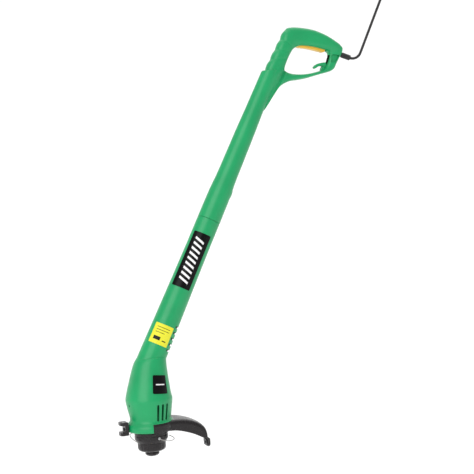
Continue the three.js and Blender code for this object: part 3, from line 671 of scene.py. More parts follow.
def cord_route(arc_steps=16, straight_steps=20):
    """Straight out of the sleeve, one arc upwards of the bend radius, then a straight run."""
    reach = SLEEVE_LENGTH + GAP
    c, s = math.cos(SLEEVE_DOWN), math.sin(SLEEVE_DOWN)
    start = np.array([SLEEVE_ROOT[0] + reach * c, SLEEVE_ROOT[1] + reach * s])
    centre = start + CORD_BEND * np.array([-s, c])
    a = np.linspace(SLEEVE_DOWN, CORD_UP, arc_steps + 1) - np.pi / 2
    bend = centre + CORD_BEND * np.stack([np.cos(a), np.sin(a)], -1)
    straight = CORD_LENGTH - CORD_BEND * (CORD_UP - SLEEVE_DOWN)
    t = np.arange(1, straight_steps + 1)[:, None] / straight_steps * straight
    run = bend[-1] + t * np.array([math.cos(CORD_UP), math.sin(CORD_UP)])
    x, z = np.concatenate([bend, run]).T
    return np.stack([x, 0 * x, z], -1)


class TRIMMER_OT_cord(bpy.types.Operator):
    """Make the mains cord, its strain relief and its plug"""

    bl_idname = "trimmer.cord"
    bl_label = "Cord"

    def cord(self, context, plug):
        route = cord_route()
        diameter = context.scene.trimmer_sizes.cord_diameter
        data = bpy.data.curves.new("mains_cord", "CURVE")
        data.dimensions, data.bevel_depth, data.bevel_resolution = "3D", diameter / 2, 5
        data.use_fill_caps = True
        spline = data.splines.new("POLY")
        spline.points.add(len(route) - 1)
        spline.points.foreach_set("co", np.c_[to_frame(route), np.ones(len(route))].ravel())
        spline.use_smooth = True
        cord = bpy.data.objects.new("mains_cord", data)
        context.scene.collection.objects.link(cord)
        data.materials.append(cord_rubber())
        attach(cord, "frame")
        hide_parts("power_cord")

    def sleeve(self):
        """A tapering sleeve with raised rings: the radius falls along it and steps in at each cut."""
        z = np.concatenate([[-9, -5.6, -5.4], np.linspace(0, 25.2, 85), [25.8, SLEEVE_LENGTH]])
        taper = np.interp(z, [-9, -5.6, -5.4, 1, 5, 25.2, 25.8, SLEEVE_LENGTH],
                          [8, 8, 5, 5, 6.5, 6.3, 6.1, 5.4])
        cuts = np.clip(np.cos((z - 7.5) * 2 * np.pi / 3.6) * 3 - 1.9, 0, 1) * 0.55
        profile = np.stack([taper - np.where((z > 7) & (z < 23), cuts, 0), z], -1)
        grid = from_sleeve(turned(profile, circle(48)))
        add_piece("cord_sleeve", [(grid, False)], cord_rubber(), stands_for=["strain_relief"])

    def plug(self):
        """An oval body: half-widths grow from the neck, hold, and round over at the face; a waist
        with finger ribs lies half way."""
        z = np.array([0, 0.8, 4, 8, 12, 15, 18, 21, 24, 27, 30, 33, 36, 39, 42, 44.4, 45.6, 46])
        wide = np.array([3.6, 4.6, 5, 5.6, 6.3, 10.5, 13.5, 15.8, 17,
                         16.6, 15.8, 15.6, 16.2, 17.2, 17.8, 17.8, 17, 15.6])
        deep = np.array([3.6, 4.6, 5, 5.6, 6.2, 8.6, 10.6, 12, 12.7,
                         12.2, 11.4, 11.2, 11.8, 12.8, 13.3, 13.3, 12.5, 11.2])
        steps = np.linspace(0, 1, 90)
        z, wide, deep = curve(np.stack([z, wide, deep], -1), steps, measured=1).T
        rib = np.clip(np.cos((z - 31) * 2 * np.pi / 3) * 2 - 1, 0, 1) * 0.5 * ((z > 25) & (z < 37))
        a = circle(64)
        x = (deep - rib)[:, None] * np.sign(np.cos(a)) * np.abs(np.cos(a)) ** 0.85
        y = (wide - rib)[:, None] * np.sign(np.sin(a)) * np.abs(np.sin(a)) ** 0.85
        end = cord_route()[-1]
        c, s = math.cos(CORD_UP), math.sin(CORD_UP)
        length = z[:, None] + GAP
        grid = np.stack([end[0] + length * c + x * s, y, end[2] + length * s - x * c], -1)
        return add_piece("mains_plug", [(grid, False)], cord_rubber(), stands_for=["plug_body"])

    def execute(self, context):
        self.cord(context, self.plug())
        self.sleeve()
        return {"FINISHED"}


# ---- handle --------------------------------------------------------------------------
# Stations round the loop: inner x and z, outer x and z, half thickness.
LOOP_STATIONS = np.array([
    (381.0, 857, 334, 853, 17), (385.6, 868, 342.5, 866.9, 17), (391.3, 879, 350.5, 879.9, 17),
    (398, 890, 362, 898.7, 17), (404.5, 898.6, 375.5, 920.7, 17), (410, 902.4, 388.5, 942, 17),
    (414, 904.2, 394.5, 948.6, 17), (419.5, 906, 403.5, 950.5, 17), (433, 906.9, 431, 949.6, 17),
    (447, 905.5, 448, 947.4, 17), (460, 903.4, 464, 944, 17), (472, 900.5, 481, 938, 17),
    (483, 897.8, 499, 929.8, 16.8), (491, 895.2, 518, 918.6, 16), (496.6, 892.6, 531, 909.3, 14.6),
    (499, 888.5, 537, 901.5, 13.4), (499, 884, 536, 894, 13), (496.4, 876, 527, 879.4, 13),
    (493, 867.6, 517.4, 864.4, 13), (489.4, 860, 510.6, 853, 13), (483.4, 853, 501.5, 847.4, 13),
    (474.6, 849, 489, 844, 13), (463, 846, 474, 840.6, 13), (450, 843.5, 456, 836.3, 13),
    (437, 841.8, 435, 831.3, 13), (424, 841, 414, 828, 13), (410.6, 841.5, 391.5, 825, 13),
    (398, 843, 370, 816, 13), (391, 845, 352, 802, 14), (387, 846.8, 339.4, 786, 15),
    (384.4, 848.6, 328.6, 770, 14), (382.8, 850.2, 318.5, 756, 11), (381.8, 851.8, 306, 768, 13),
    (381, 853.4, 306, 800, 17), (380.8, 855, 322, 832, 18)])
RIB_HEIGHT, RIB_VALLEY = 2.1, 0.7  # of the swellings in front, and of the dips between them
WELL = 3.6  # radius of the screw wells in the far side
HANDLE_WELLS = [(387, 927, 9), (517, 906, 6)]  # x, z and the floor's distance from the split plane
UPPER_WELLS = [(640, 12), (430, 16)]  # length along the tube, and the floor's distance

TUBE_FOOT, TUBE_TOP = 362.3, 800.0
STEP_S, STEP_SPREAD, STEP_HEIGHT = 446.0, 9.0, 1.3  # the small bump on the tube's rear
WEB_S, WEB_RISE, WEB_HEIGHT, WEB_SPREAD = 690.0, 80.0, 8.5, 0.66  # the swell towards the loop


class TRIMMER_OT_handle(bpy.types.Operator):
    """Make the grip loop and the upper tube"""

    bl_idname = "trimmer.handle"
    bl_label = "Handle"

    def loop(self, context):
        """A ring round the hand hole. At each station its section is a squared oval between the
        inner and the outer edge, squarer over the trigger. The post's front swells in ribs, the
        split seam runs round it, and the trigger's slot and the rear post's recesses are cut out."""
        sizes = context.scene.trimmer_sizes
        middle = (LOOP_STATIONS[:, :2] + LOOP_STATIONS[:, 2:4]) / 2
        path = curve(np.c_[middle, LOOP_STATIONS], np.arange(560) / 560, closed=True)[:, 2:]
        inner, outer, half = path[:, :2], path[:, 2:4], path[:, 4] * sizes.grip_thickness / 0.034
        foot, head = np.array([334.0, 853.0]), np.array([391.0, 946.0])
        post = head - foot
        share = (outer - foot) @ post / (post @ post)
        off = np.abs((outer - foot) @ np.array([-post[1], post[0]])) / np.linalg.norm(post)
        on_post = (off < 3.5) & (share > 0) & (share < 1)
        wave = np.sin(share * sizes.grip_ribs * np.pi) ** 2
        swell = np.where(on_post, RIB_HEIGHT * (np.sqrt(wave + 0.01) - 0.1), 0)
        fading = np.clip(np.minimum(share, 1 - share) * 12, 0, 1)
        valley = np.where(on_post, np.exp(-wave / 0.12) * fading, 0)
        outwards = np.array([-post[1], post[0]]) / np.linalg.norm(post)
        outer = outer + swell[:, None] * outwards
        half = half - RIB_VALLEY * valley
        even = (np.arange(72) + 0.5) * 2 * np.pi / 72
        near_seam = np.arcsin((np.array([SEAM, 2 * SEAM]) / 17) ** 1.25)
        turn = np.unique(np.concatenate([even, [0, np.pi], *(
            [base + side * near_seam for base in (0, np.pi) for side in (1, -1)])]) % (2 * np.pi))
        c, s = np.cos(turn), np.sin(turn)
        under_bar = np.exp(-(((inner[:, 0] - 452) / 38) ** 4)) * (inner[:, 1] > 880)
        power = 0.8 - 0.42 * under_bar[:, None] * (c < 0)
        reach, height = np.sign(c) * np.abs(c) ** power, np.sign(s) * np.abs(s) ** power
        y = half[:, None] * height
        width = np.linalg.norm(outer - inner, axis=1)[:, None]
        reach = reach * (1 - 2 * seam_depth(y) / width)
        centre, arm = (inner + outer) / 2, (outer - inner) / 2
        grid = np.stack([centre[:, :1] + arm[:, :1] * reach, y,
                         centre[:, 1:] + arm[:, 1:] * reach], -1)
        # dark is painted shade: the two deep pockets cut below take it on their walls and floors.
        dark, green = painted_deep_shade_plastic(), shell_plastic()
        recess = softened([(503, 886), (524.5, 884.5), (512.5, 866.5), (499.5, 867)], 2.5, 5, 3)
        x, z = recess.T
        cutters = [(np.stack([np.stack([x, 0 * x + y, z], -1) for y in (side * 8, side * 20)]), green)
                   for side in (-1, 1)]
        cutters += [
            (box_grid((411, -8.8, 893.5), (492.5, 8.8, 921)), green),
            (box_grid((438.5, -8.4, 915), (467.5, 8.4, 939)), dark),
            (box_grid((481, -6.5, 864.5), (504, 6.5, 885.5)), dark),
            (from_sleeve(turned([(5.6, -12), (5.6, 30)], circle(40))), green),
            *[(cross_well(x, z, WELL, floor), green) for x, z, floor in HANDLE_WELLS]]
        add_piece("handle_loop", [(grid, True)], green, stands_for=["handle_shell_near"],
                  cutters=cutters)

    def tube(self):
        """The upper tube's profile turned about the tilted axis. Each bearing's run ends at the
        collar's level top, s = (collar height - bend + r sin(tilt) cos(b)) / cos(tilt), rounded in.
        Near the top its rear side swells out to meet the loop's web."""
        bearings = seam_bearings(96, 24)
        length = np.concatenate([[TUBE_FOOT, 362.6, 363.1], np.linspace(364, TUBE_TOP, 230)])
        s, r = np.array(UPPER_TUBE).T
        radius = curve(np.stack([s, r], -1), np.linspace(0, 1, 400), measured=1)
        radius = np.interp(length, radius[:, 0], radius[:, 1])
        radius[:2] -= [0.6, 0.2]
        step = STEP_HEIGHT * np.exp(-((length - STEP_S) / STEP_SPREAD) ** 4)
        b = bearings[None, :]
        rise = np.clip((length - WEB_S) / WEB_RISE, 0, 1)
        from_rear = np.angle(np.exp(1j * b))
        swell = (WEB_HEIGHT * (rise ** 2 * (3 - 2 * rise))[:, None]
                 * np.exp(-((from_rear / WEB_SPREAD) ** 2)))
        r = radius[:, None] + step[:, None] * np.clip(np.cos(b), 0, 1) ** 2 + swell
        y = r * np.sin(b)
        r = r - seam_depth(y)
        top = (COLLAR_Z - BEND_Z + 18.9 * math.sin(TILT) * np.cos(b)) / math.cos(TILT)
        share = (length - TUBE_FOOT)[:, None] / (TUBE_TOP - TUBE_FOOT)
        run = TUBE_FOOT + share * (top - TUBE_FOOT)
        radius_at = np.interp(run.ravel(), length, radius).reshape(run.shape)
        r = radius_at + (r - radius[:, None])
        grid = on_tube(np.stack([r * np.cos(b) + 0 * run, r * np.sin(b) + 0 * run, run], -1))
        collar = grid[-1]
        middle = collar.mean(0)
        out = (collar - middle) / np.linalg.norm(collar - middle, axis=1, keepdims=True)
        upwards = np.array([0, 0, 1.0])
        lip = [collar - 1.4 * upwards * (1 - math.sin(a)) - out * 1.4 * (1 - math.cos(a))
               for a in np.linspace(0, np.pi / 2, 6)]
        below = grid[:-1]
        below[..., 2] = np.minimum(below[..., 2], COLLAR_Z - 1.6)
        grid = np.concatenate([below, lip])
        cutters = [(cross_well(*along_tube(s), WELL, floor), shell_plastic())
                   for s, floor in UPPER_WELLS]
        add_piece("upper_tube", [(grid, False)], shell_plastic(), stands_for=["handle_shell_far"],
                  cutters=cutters)

    def execute(self, context):
        self.loop(context)
        self.tube()
        return {"FINISHED"}


class TRIMMER_OT_trigger(bpy.types.Operator):
    """Make the trigger and the cord hook"""

    bl_idname = "trimmer.trigger"
    bl_label = "Trigger and hook"

    def execute(self, context):
        yellow = moulded_plastic("trigger_plastic", colour("trigger"), 0.33, worn=1.1, coat=0.1)
        steps = np.linspace(0, 1, 90)
        finger = curve([(414.6, 911), (415.6, 906.6), (419.5, 904), (428, 902.6), (440, 901.2),
                        (452, 899.1), (466, 896), (477, 893.3), (483.5, 892), (487.4, 893.6),
                        (488.4, 897.4)], steps)
        back = curve([(414.6, 914), (415.6, 917.4), (418.6, 919), (424, 918.2), (434, 913.6),
                      (446, 910.6), (457, 909.2), (468, 907.8), (478, 905.2), (484, 903.2),
                      (488.2, 900.6)], steps)
        across = np.interp(steps, [0, 0.06, 0.94, 1], [6.6, 8, 8, 7])
        body = soft_ends(bar(finger, back, across, 2.6, 5), 1.0)
        add_piece("finger_trigger", [(body, False)], yellow, "trigger", ["trigger"],
                  cutters=[(cross_well(419, 916, 1.8, -20, 20), yellow)])
        upper = curve([(490.5, 868.2), (484, 868.1), (476, 867), (469, 865.4), (463.6, 862.8),
                       (459.4, 859.8), (456.9, 856.6)], steps)
        lower = curve([(488.4, 859.6), (482.8, 859.4), (476.8, 859.8), (471.6, 859.4),
                       (466.8, 857.2), (463.2, 855.2), (459.8, 853.6)], steps)
        hook = bar(lower, upper, np.interp(steps, [0, 0.8, 1], [5.5, 5.5, 4.2]), 1.5, 4)
        root = np.linspace(0, 1, 30)
        foot_top = curve([(488.4, 864), (484.4, 861.8), (480.4, 858.4), (477.4, 853.6),
                          (476.6, 847.6)], root)
        foot_low = curve([(488.4, 861.8), (487, 858.6), (485.4, 855.2), (484, 851.6),
                          (483.4, 847.6)], root)
        foot = bar(foot_low, foot_top, 5.2, 0.9, 4)
        add_piece("cable_hook", [(soft_ends(hook, 1.2), False), (soft_ends(foot, 0.6), False)],
                  shell_plastic(), stands_for=["cord_hook"])
        return {"FINISHED"}


# ---- motor housing -------------------------------------------------------------------
VENT_BEARINGS = [-86.0, -72.6, -58.6]  # degrees from the rear, on the near side
CLIP_WINDOWS = [(-167.6, 119), (-158.7, 87)]  # bearing in degrees, and height
TUBE_VENTS = [108.9, 95.2, 81.5, 67.8, 54.1]  # lengths along the tube
VENT_HALF = 2.4
POD_WELLS = [(-39.5, 91, 12), (40, 91, 12)]
LOWER_WELLS = [(250, 16), (128, 18)]


def pod_surface(z, bearings, lift=0.0):
    """The pod's round sections: the centre lies midway between the front and rear edge, and the
    radius is half their distance."""
    edges = curve(POD_EDGES, np.linspace(0, 1, 600), measured=1)
    front, rear = np.interp(z, edges[:, 0], edges[:, 1]), np.interp(z, edges[:, 0], edges[:, 2])
    centre, radius = ((front + rear) / 2)[:, None], ((rear - front) / 2)[:, None] + lift
    b = in_rows(bearings)
    return np.stack([centre + radius * np.cos(b), radius * np.sin(b), z[:, None] + 0 * b], -1)


def tube_surface(s, bearings, lift=0.0, seamed=False):
    """The lower tube's taper turned about the tilted axis, with the split seam if asked."""
    knots, radii = np.array(LOWER_TUBE).T
    table = curve(np.stack([knots, radii], -1), np.linspace(0, 1, 300), measured=1)
    r = np.interp(s, table[:, 0], table[:, 1])[:, None] + lift
    b = in_rows(bearings)
    if seamed:
        r = r - seam_depth(r * np.sin(b))
    return on_tube(np.stack([r * np.cos(b), r * np.sin(b), s[:, None] + 0 * b], -1))


class TRIMMER_OT_housing(bpy.types.Operator):
    """Make the motor pod and the lower tube"""

    bl_idname = "trimmer.housing"
    bl_label = "Motor housing"

    def pod(self):
        """The pod's sections stacked, closed by a soft shoulder. The motor's room, the band's notch,
        the side vents, clip windows and screw wells are cut out of it, and a lip edges the notch."""
        # dark is painted shade: the motor's room, the side vents and the clip windows take it on their cut
        # walls and floors.
        green, dark = shell_plastic(), shadow_plastic()
        bearings = seam_bearings(132, 50)
        z = np.concatenate([[58.7, 58.9, 59.4], np.linspace(60.2, 221.4, 190), [221.8, 222]])
        grid = pod_surface(z, bearings)
        axis = grid.mean(1, keepdims=True)
        out = grid - axis
        out[..., 2] = 0
        size = np.linalg.norm(out, axis=2, keepdims=True)
        inset = np.interp(z, [58.7, 58.9, 59.4, 60.2], [0.9, 0.4, 0.1, 0])[:, None]
        groove = seam_depth(grid[..., 1]) + inset
        grid = grid - out / size * groove[..., None]
        room = turned([(48, 40), (48, 66), (37.5, 67), (37.5, 160), (24, 175), (24, 200)], circle(96))
        notch_top = BAND_TOP + GAP
        notch = swept_arc([(43.9, 40), (70, 40), (70, 70), (70, notch_top), (43.9, notch_top)],
                          np.radians(np.linspace(-BAND_BEARING - 0.4, BAND_BEARING + 0.4, 90)), 0)
        cutters = [(room, dark), (notch, green)]
        for side in (1, -1):
            cutters += [(upright_slot(math.radians(v * side), 42, 62, 5.2, 83, 120), dark)
                        for v in VENT_BEARINGS]
        cutters += [(upright_slot(math.radians(v), 46.5, 62, 2.8, z - 3.5, z + 3.5), dark)
                    for v, z in CLIP_WINDOWS]
        cutters += [(cross_well(x, z, WELL, floor), green) for x, z, floor in POD_WELLS]
        add_piece("motor_pod", [(grid, False)], green, stands_for=["motor_shell_near"],
                  cutters=cutters)
        lip = softened([(45, notch_top), (50.4, notch_top), (50.4, 80.2), (45, 81)],
                       [0.3, 0.9, 1.1, 0.3], 6, 2)
        arc = np.radians(np.linspace(-BAND_BEARING, BAND_BEARING, 160))
        add_piece("notch_lip", [(swept_arc(lip, arc, 0.5), False)], green)

    def tube(self):
        """The lower tube, turned in at the joint's edge, with five vents cut across its rear."""
        # dark is painted shade: the five rear vents take it on their cut walls and floors.
        green, dark = shell_plastic(), painted_deep_shade_plastic()
        s = np.concatenate([[-4], np.linspace(0, 360.6, 190), [361.2, 361.5, 361.7]])
        grid = tube_surface(s, seam_bearings(96, 28), seamed=True)
        for row, inset in ((-1, 0.6), (-2, 0.2)):
            centre = grid[row].mean(0)
            out = grid[row] - centre
            grid[row] -= out / np.linalg.norm(out, axis=1, keepdims=True) * inset
        cutters = []
        arc = np.radians(np.linspace(-58, 58, 60))
        for v in TUBE_VENTS:
            low, high = v - VENT_HALF, v + VENT_HALF
            slot = swept_arc([(27.0, low), (50, low), (50, high), (27.0, high)], arc, 0)
            cutters.append((on_tube(slot), dark))
        cutters += [(cross_well(*along_tube(s), WELL, floor), green) for s, floor in LOWER_WELLS]
        add_piece("lower_tube", [(grid, False)], green, stands_for=["motor_shell_far"],
                  cutters=cutters)

    def execute(self, context):
        self.pod()
        self.tube()
        return {"FINISHED"}


# ---- labels --------------------------------------------------------------------------
def wrapped_sheet(surface, low, high, middle, half, corner, radius, thickness, slope=0):
    """A thin sheet on a surface: a soft rectangle of bearings and lengths. Each row runs out along
    the outer face and back along the inner one. Returns the grid and its place in millimetres."""
    length = np.linspace(low, high, 60)
    end = np.minimum(length - low, high - length)
    narrow = corner - np.sqrt(np.maximum(corner ** 2 - np.maximum(corner - end, 0) ** 2, 0))
    reach = half - np.degrees(narrow / radius)
    share = np.linspace(-1, 1, 40)
    bearing = np.radians(middle + reach[:, None] * share[None, :])
    drop = slope * np.sin(bearing - math.radians(middle))
    outer = surface(length, bearing, 0.12 + thickness)
    inner = surface(length, bearing, 0.12)
    outer[..., 2] -= drop
    inner[..., 2] -= drop
    grid = np.concatenate([outer, inner[:, ::-1]], 1)
    across = np.radians(reach[:, None] * share[None, :]) * radius
    along = np.broadcast_to(length[:, None] - (low + high) / 2, across.shape)
    place = np.stack([across, along], -1)
    first, last = grid[:1] * 0.5 + grid[:1, ::-1] * 0.5, grid[-1:] * 0.5 + grid[-1:, ::-1] * 0.5
    grid = np.concatenate([first, grid, last])
    place = np.concatenate([place, place[:, ::-1]], 1)
    return grid, np.concatenate([place[:1], place, place[-1:]])


class TRIMMER_OT_labels(bpy.types.Operator):
    """Make the two labels on the tube and the badge on the pod"""

    bl_idname = "trimmer.labels"
    bl_label = "Labels"

    def execute(self, context):
        white = (0.86, 0.86, 0.86)
        bars = [(-11.5, 11.5, v - 2.6, v + 2.6, 0.35) for v in range(-48, 49, 12)]
        film = printed_film("tube_film", colour("film"), white, bars)
        grid, place = wrapped_sheet(tube_surface, 194, 326, -112, 47, 1.5, 27.5, 0.35)
        add_piece("tube_graphic", [(grid, False)], film, stands_for=["tube_label"],
                  uv=[place])
        dark = (0.01, 0.012, 0.01)
        marks = [(-15, 15, 14.6, 15.8, 0), (-15, 15, 8.6, 9.8, 0), (-15, 6, 2.6, 3.8, 0),
                 (-15, 1, -14, -6, 0), (6, 15, -14, -11.6, 0)]
        film = printed_film("notice_film", colour("notice"), dark, marks)
        grid, place = wrapped_sheet(tube_surface, 58, 104, -109.5, 44, 1.2, 29.5, 0.35)
        add_piece("notice_graphic", [(grid, False)], film, stands_for=["noise_label"],
                  uv=[place])
        film = printed_film("badge_film", shade(colour("film"), 1.4), white, [(-11, 11, -1.3, 1.3, 0)])
        grid, place = wrapped_sheet(pod_surface, 143, 183, -74.5, 22.5, 2.4, 46, 0.7, 6)
        add_piece("pod_badge", [(grid, False)], film, stands_for=["badge"],
                  uv=[place])
        return {"FINISHED"}


# ---- guard and bracket ---------------------------------------------------------------
# Distance from the spool axis, with the height of the hood's top line and of its lower edge,
# and with half its width.
HOOD_TOP = [(44.8, 79.6), (55, 79.6), (65, 79), (76, 77.4), (86, 74.8), (96, 71), (105, 66.2),
            (112, 61.4), (118, 55.6), (122.6, 48.6), (125.2, 40.6), (126, 32.4)]
HOOD_LOW = [(44.8, 57.4), (52, 57), (60, 56), (69, 53.6), (77, 50.8), (86, 47.2), (95, 43),
            (102, 39), (108.6, 35), (114, 31.8), (119, 29.9), (125.4, 29.3)]
HOOD_HALF = [(44, 38), (52, 39.4), (60, 39.4), (75, 39.6), (92, 40), (112, 38.6), (126, 36.6)]
HOOD_WALL = 3.0
BAND_WELL_BEARINGS, BAND_WELL_HEIGHT = (-52.0, 52.0), 67


class TRIMMER_OT_guard(bpy.types.Operator):
    """Make the guard with its band and tab, and the front bracket"""

    bl_idname = "trimmer.guard"
    bl_label = "Guard and bracket"

    def hood(self):
        """A hood carried outwards. Its section is an upside-down U, down each side from the top
        line to the lower edge, with one wall thickness, and every point keeps its distance from
        the spool axis."""
        t = np.linspace(0, 1, 110)
        top, low = curve(HOOD_TOP, t), curve(HOOD_LOW, t)
        slope = np.gradient(top, axis=0)
        slope /= np.linalg.norm(slope, axis=1, keepdims=True)
        inwards = np.stack([slope[:, 1], -slope[:, 0]], -1)
        under = top + HOOD_WALL * inwards
        half = np.interp(top[:, 0], *np.array(HOOD_HALF).T)
        low_in = low + 0.4 * inwards
        closing = np.clip((1 - t) / 0.012, 0, 1) ** 0.5

        def corner(place, y):
            return np.stack([place[:, 0], y, place[:, 1]], -1)

        inner = half - HOOD_WALL
        corners = np.stack([
            corner(low, -half), corner(top, -half), corner(top, half), corner(low, half),
            corner(low_in, inner), corner(under, inner),
            corner(under, -inner), corner(low_in, -inner)], 1)
        middle = (corners[:, :4] + corners[:, 4:][:, ::-1]) / 2
        middle = np.concatenate([middle, middle[:, ::-1]], 1)
        corners = middle + (corners - middle) * closing[:, None, None]
        loops = softened(corners, [1.2, 10, 10, 1.2, 1.2, 7.5, 7.5, 1.2], 9, 11)
        r, y, z = np.moveaxis(loops, -1, 0)
        x = np.sqrt(np.maximum(r ** 2 - y ** 2, 1))
        return np.stack([x, y, z], -1)

    def band(self):
        """A soft rectangle of radius and height swept round the rear of the head."""
        loop = softened([(45, 57.2), (51.2, 57.8), (51.8, 62), (51.8, 73.4), (50.6, BAND_TOP),
                         (45, BAND_TOP)], [0.8, 1.2, 1.5, 1.5, 0.9, 0.8], 6, 3)
        return swept_arc(loop, np.radians(np.concatenate([
            [-BAND_BEARING, -BAND_BEARING + 0.3], np.linspace(-BAND_BEARING + 1, BAND_BEARING - 1, 200),
            [BAND_BEARING - 0.3, BAND_BEARING]])))

    def tab(self):
        """A tab below the rim: soft rectangles stacked downwards, narrowing in a circle at the foot."""
        z = np.concatenate([np.linspace(37, 14, 24), 14 - 11 * np.sin(np.linspace(0.06, np.pi / 2, 16))])
        front = np.interp(z, [3, 5, 20, 27, 37], [130.4, 129.6, 129.2, 123.6, 122.8])
        rear = np.interp(z, [3, 5, 22, 28, 37], [132.6, 134, 133.4, 126.6, 125.6])
        half = np.where(z < 14, 6 + np.sqrt(np.maximum(121 - (14 - z) ** 2, 0)), 17)
        corners = np.stack([np.stack([x, side * half, z], -1)
                            for x, side in ((front, -1), (front, 1), (rear, 1), (rear, -1))], 1)
        return softened(corners, 1.4, 5, 6)

    def bracket(self):
        """A C in the XZ plane: its path runs from one flange's tip through the web to the other's,
        between the outer and the inner line. A hole runs down through both flanges and another
        through the web."""
        outer = softened([(-72, 54), (-54.2, 54), (-54.2, 83.5), (-72, 83.5)],
                         [0, 3, 3, 0], 8, 20, False)
        inner = softened([(-72, 61.5), (-62, 61.5), (-62, 76.5), (-72, 76.5)],
                         [0, 1.5, 1.5, 0], 8, 20, False)
        reach = np.maximum(-outer[:, 0] - 65.5, 0)
        half = 6 + np.sqrt(np.maximum(36 - np.minimum(reach, 5.9) ** 2, 0.5))
        grid = soft_ends(bar(inner, outer, half, 1.1, 6), 0.8)
        a = circle(40)
        hole = turned([(2.2, 40), (2.2, 100)], a) + np.array([-67.5, 0, 0])
        sunk = np.stack([np.stack([0 * a + x, 1.9 * np.cos(a), BAND_WELL_HEIGHT + 1.9 * np.sin(a)], -1)
                         for x in (-70, -50)])
        add_piece("edge_bracket", [(grid, False)], dark_plastic(), stands_for=["front_bracket"],
                  cutters=[(hole, dark_plastic()), (sunk, dark_plastic())])

    def execute(self, context):
        black = dark_plastic()
        wells = [(outward_well(math.radians(bearing), BAND_WELL_HEIGHT, 3.2, 49.6, 60, 40), black)
                 for bearing in BAND_WELL_BEARINGS]
        for name, grid, cutters in (("line_guard", self.hood(), ()), ("guard_band", self.band(), wells),
                                    ("guard_tab", self.tab(), ())):
            add_piece(name, [(grid, False)], black, stands_for=["guard"],
                      cutters=cutters)
        self.bracket()
        return {"FINISHED"}


# ---- spool head ----------------------------------------------------------------------
EYELET_BEARING, EYELET_HEIGHT = math.radians(-81), 43
LINE_A = [(5.2, -33.2, 43), (6.2, -39, 42.6), (10, -43, 41), (18, -45, 38.6), (28, -43, 36.6),
          (38, -36, 36), (45, -24, 36.6), (45.5, -12, 38), (42, 1, 39.6)]
LINE_B = [(-5.2, 33.2, 43), (-6.6, 39, 43.4), (-14, 42.5, 45), (-27, 38.5, 47.6),
          (-38, 29, 49.4), (-45, 14, 48.6), (-46, -2, 45), (-42.5, -14, 40.6), (-37.5, -22, 36.4)]


class TRIMMER_OT_spool(bpy.types.Operator):
    """Make the spool housing, its cap, the bump knob and the line ends"""

    bl_idname = "trimmer.spool"
    bl_label = "Spool head"

    def drum(self):
        """The housing's closed section turned about the spool axis, with a well at each eyelet."""
        section = softened(
            [(4.3, 56), (36, 56), (37.2, 54.8), (37.2, 49.6), (36.6, 49), (36.6, 47.6), (37.2, 47),
             (37.2, 39.4), (32.6, 31.7), (29.8, 31.7), (34.4, 40), (34.4, 53), (9, 53), (9, 32),
             (4.3, 32)],
            [0.4, 0.8, 0.6, 0.3, 0.25, 0.25, 0.3, 1.2, 0.8, 0.6, 0.8, 0.6, 0.6, 0.3, 0.3], 5, 2)
        grid = np.moveaxis(turned(section, circle(144)), 0, 1)
        black = dark_plastic()
        wells = [(outward_well(bearing, EYELET_HEIGHT, 2.5, 26, 50, 32), black)
                 for bearing in (EYELET_BEARING, EYELET_BEARING + np.pi)]
        add_piece("spool_drum", [(grid, True)], black, "rotor", ["spool_housing"],
                  cutters=wells)

    def cap(self):
        """The cap's closed section turned; twelve finger flutes press into its wall."""
        section = softened(
            [(17.2, 12.4), (25, 12.4), (29.6, 15.2), (31.2, 19), (31.2, 31.4), (28.9, 31.4),
             (28.9, 19.5), (27.5, 17), (25, 15.2), (17.2, 15.2)],
            [0.6, 1.8, 1.6, 1.4, 0.6, 0.5, 1, 1, 1, 0.6], 6, 6)
        b = circle(216)
        flute = np.clip(np.cos(b * 12) * 1.6 - 0.8, 0, 0.8) / 0.8
        weight = (np.clip((section[:, 0] - 30.0) / 0.8, 0, 1)
                  * np.clip((30.4 - section[:, 1]) / 1.5, 0, 1))
        grid = pressed_in(section, b, 0.7 * weight[:, None] * flute[None, :])
        add_piece("spool_lid", [(np.moveaxis(grid, 0, 1), True)], dark_plastic(), "rotor", ["spool_cap"])

    def knob(self):
        """The knob's profile turned, with six shallow lobes round its waist."""
        section = softened([(0.01, 0), (8, 0), (12.4, 1.6), (15.2, 4), (15.9, 6.2), (15.4, 8.6),
                            (14.2, 9.4), (14.2, 17.3), (0.01, 17.3)],
                           [0, 3, 3, 2, 1.5, 0.8, 0.4, 0.6, 0], 6, 3, False)
        b = circle(144)
        flute = np.clip(np.cos(b * 6) * 2 - 1, 0, 1)
        weight = np.clip((section[:, 0] - 11.5) / 3, 0, 1) * (section[:, 1] < 9.2)
        grid = pressed_in(section, b, 0.9 * weight[:, None] * flute[None, :])
        add_piece("feed_knob", [(grid, False)], dark_plastic(), "reel", ["bump_knob"])

    def execute(self, context):
        self.drum()
        self.cap()
        self.knob()
        clear = nylon("line_nylon", colour("line"))
        radius = context.scene.trimmer_sizes.line_diameter * 500
        for name, route in (("a", LINE_A), ("b", LINE_B)):
            add_piece(f"line_end_{name}", [(soft_ends(strand(route, radius), 0.3), False)], clear,
                      "rotor", [f"cutting_line_{name}"])
        return {"FINISHED"}


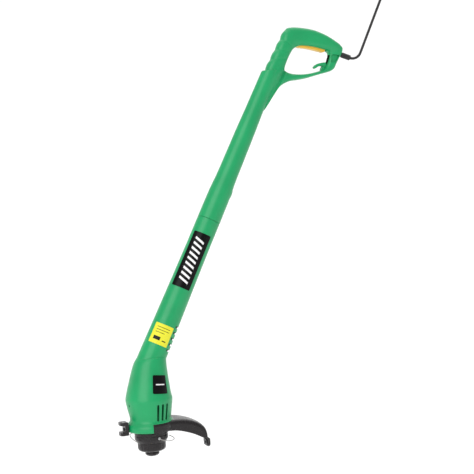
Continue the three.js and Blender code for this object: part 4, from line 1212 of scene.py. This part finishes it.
# ---- carried-over nodes --------------------------------------------------------------
class TRIMMER_OT_fittings(bpy.types.Operator):
    """Give every node that is still shown its finish"""

    bl_idname = "trimmer.fittings"
    bl_label = "Fittings"

    def execute(self, context):
        finishes = {
            "steel": metal("zinc_steel", (0.60, 0.61, 0.62), 0.32, (1, 1, 6)),
            "dark_steel": metal("black_steel", (0.13, 0.13, 0.135), 0.42),
            "brass": metal("pin_brass", (0.71, 0.50, 0.20), 0.28, (1, 6, 1)),
            "copper": metal("bar_copper", (0.72, 0.33, 0.17), 0.35, (1, 1, 8)),
            "cream_plastic": moulded_plastic("natural_plastic", (0.62, 0.56, 0.44), 0.45, worn=1.1),
            "black_plastic": dark_plastic(), "black_rubber": cord_rubber(),
            "green_plastic": shell_plastic(), "nylon_line": nylon("wound_nylon", colour("line")),
            "yellow_plastic": shell_plastic(), "label_dark": dark_plastic(),
            "label_yellow": dark_plastic(),
        }
        slots = {part["node"]: part["material_slot"] for part in frame["record"]["subparts"]}
        for name, node in frame["nodes"].items():
            node.data.materials.clear()
            node.data.materials.append(finishes["dark_steel" if name == "line_cutter" else slots[name]])
        return {"FINISHED"}


class TRIMMER_PT_panel(bpy.types.Panel):
    """The trimmer's steps, sizes and colours"""

    bl_label = "String trimmer"
    bl_space_type = "VIEW_3D"
    bl_region_type = "UI"
    bl_category = "Trimmer"

    def draw(self, context):
        for operator in STEPS:
            self.layout.operator(operator.bl_idname)
        for group in (context.scene.trimmer_sizes, context.scene.trimmer_colours):
            for name in group.__annotations__:
                self.layout.prop(group, name)


STEPS = (TRIMMER_OT_stage, TRIMMER_OT_cord, TRIMMER_OT_handle, TRIMMER_OT_trigger, TRIMMER_OT_housing,
         TRIMMER_OT_labels, TRIMMER_OT_guard, TRIMMER_OT_spool, TRIMMER_OT_fittings)
CLASSES = (TrimmerColours, TrimmerSizes, *STEPS, TRIMMER_PT_panel)


def register():
    for entry in CLASSES:
        bpy.utils.register_class(entry)
    bpy.types.Scene.trimmer_colours = bpy.props.PointerProperty(type=TrimmerColours)
    bpy.types.Scene.trimmer_sizes = bpy.props.PointerProperty(type=TrimmerSizes)


def unregister():
    del bpy.types.Scene.trimmer_sizes
    del bpy.types.Scene.trimmer_colours
    for entry in reversed(CLASSES):
        bpy.utils.unregister_class(entry)


def main():
    register()
    for step in STEPS:
        area, name = step.bl_idname.split(".")
        getattr(getattr(bpy.ops, area), name)()


if __name__ == "__main__":
    main()
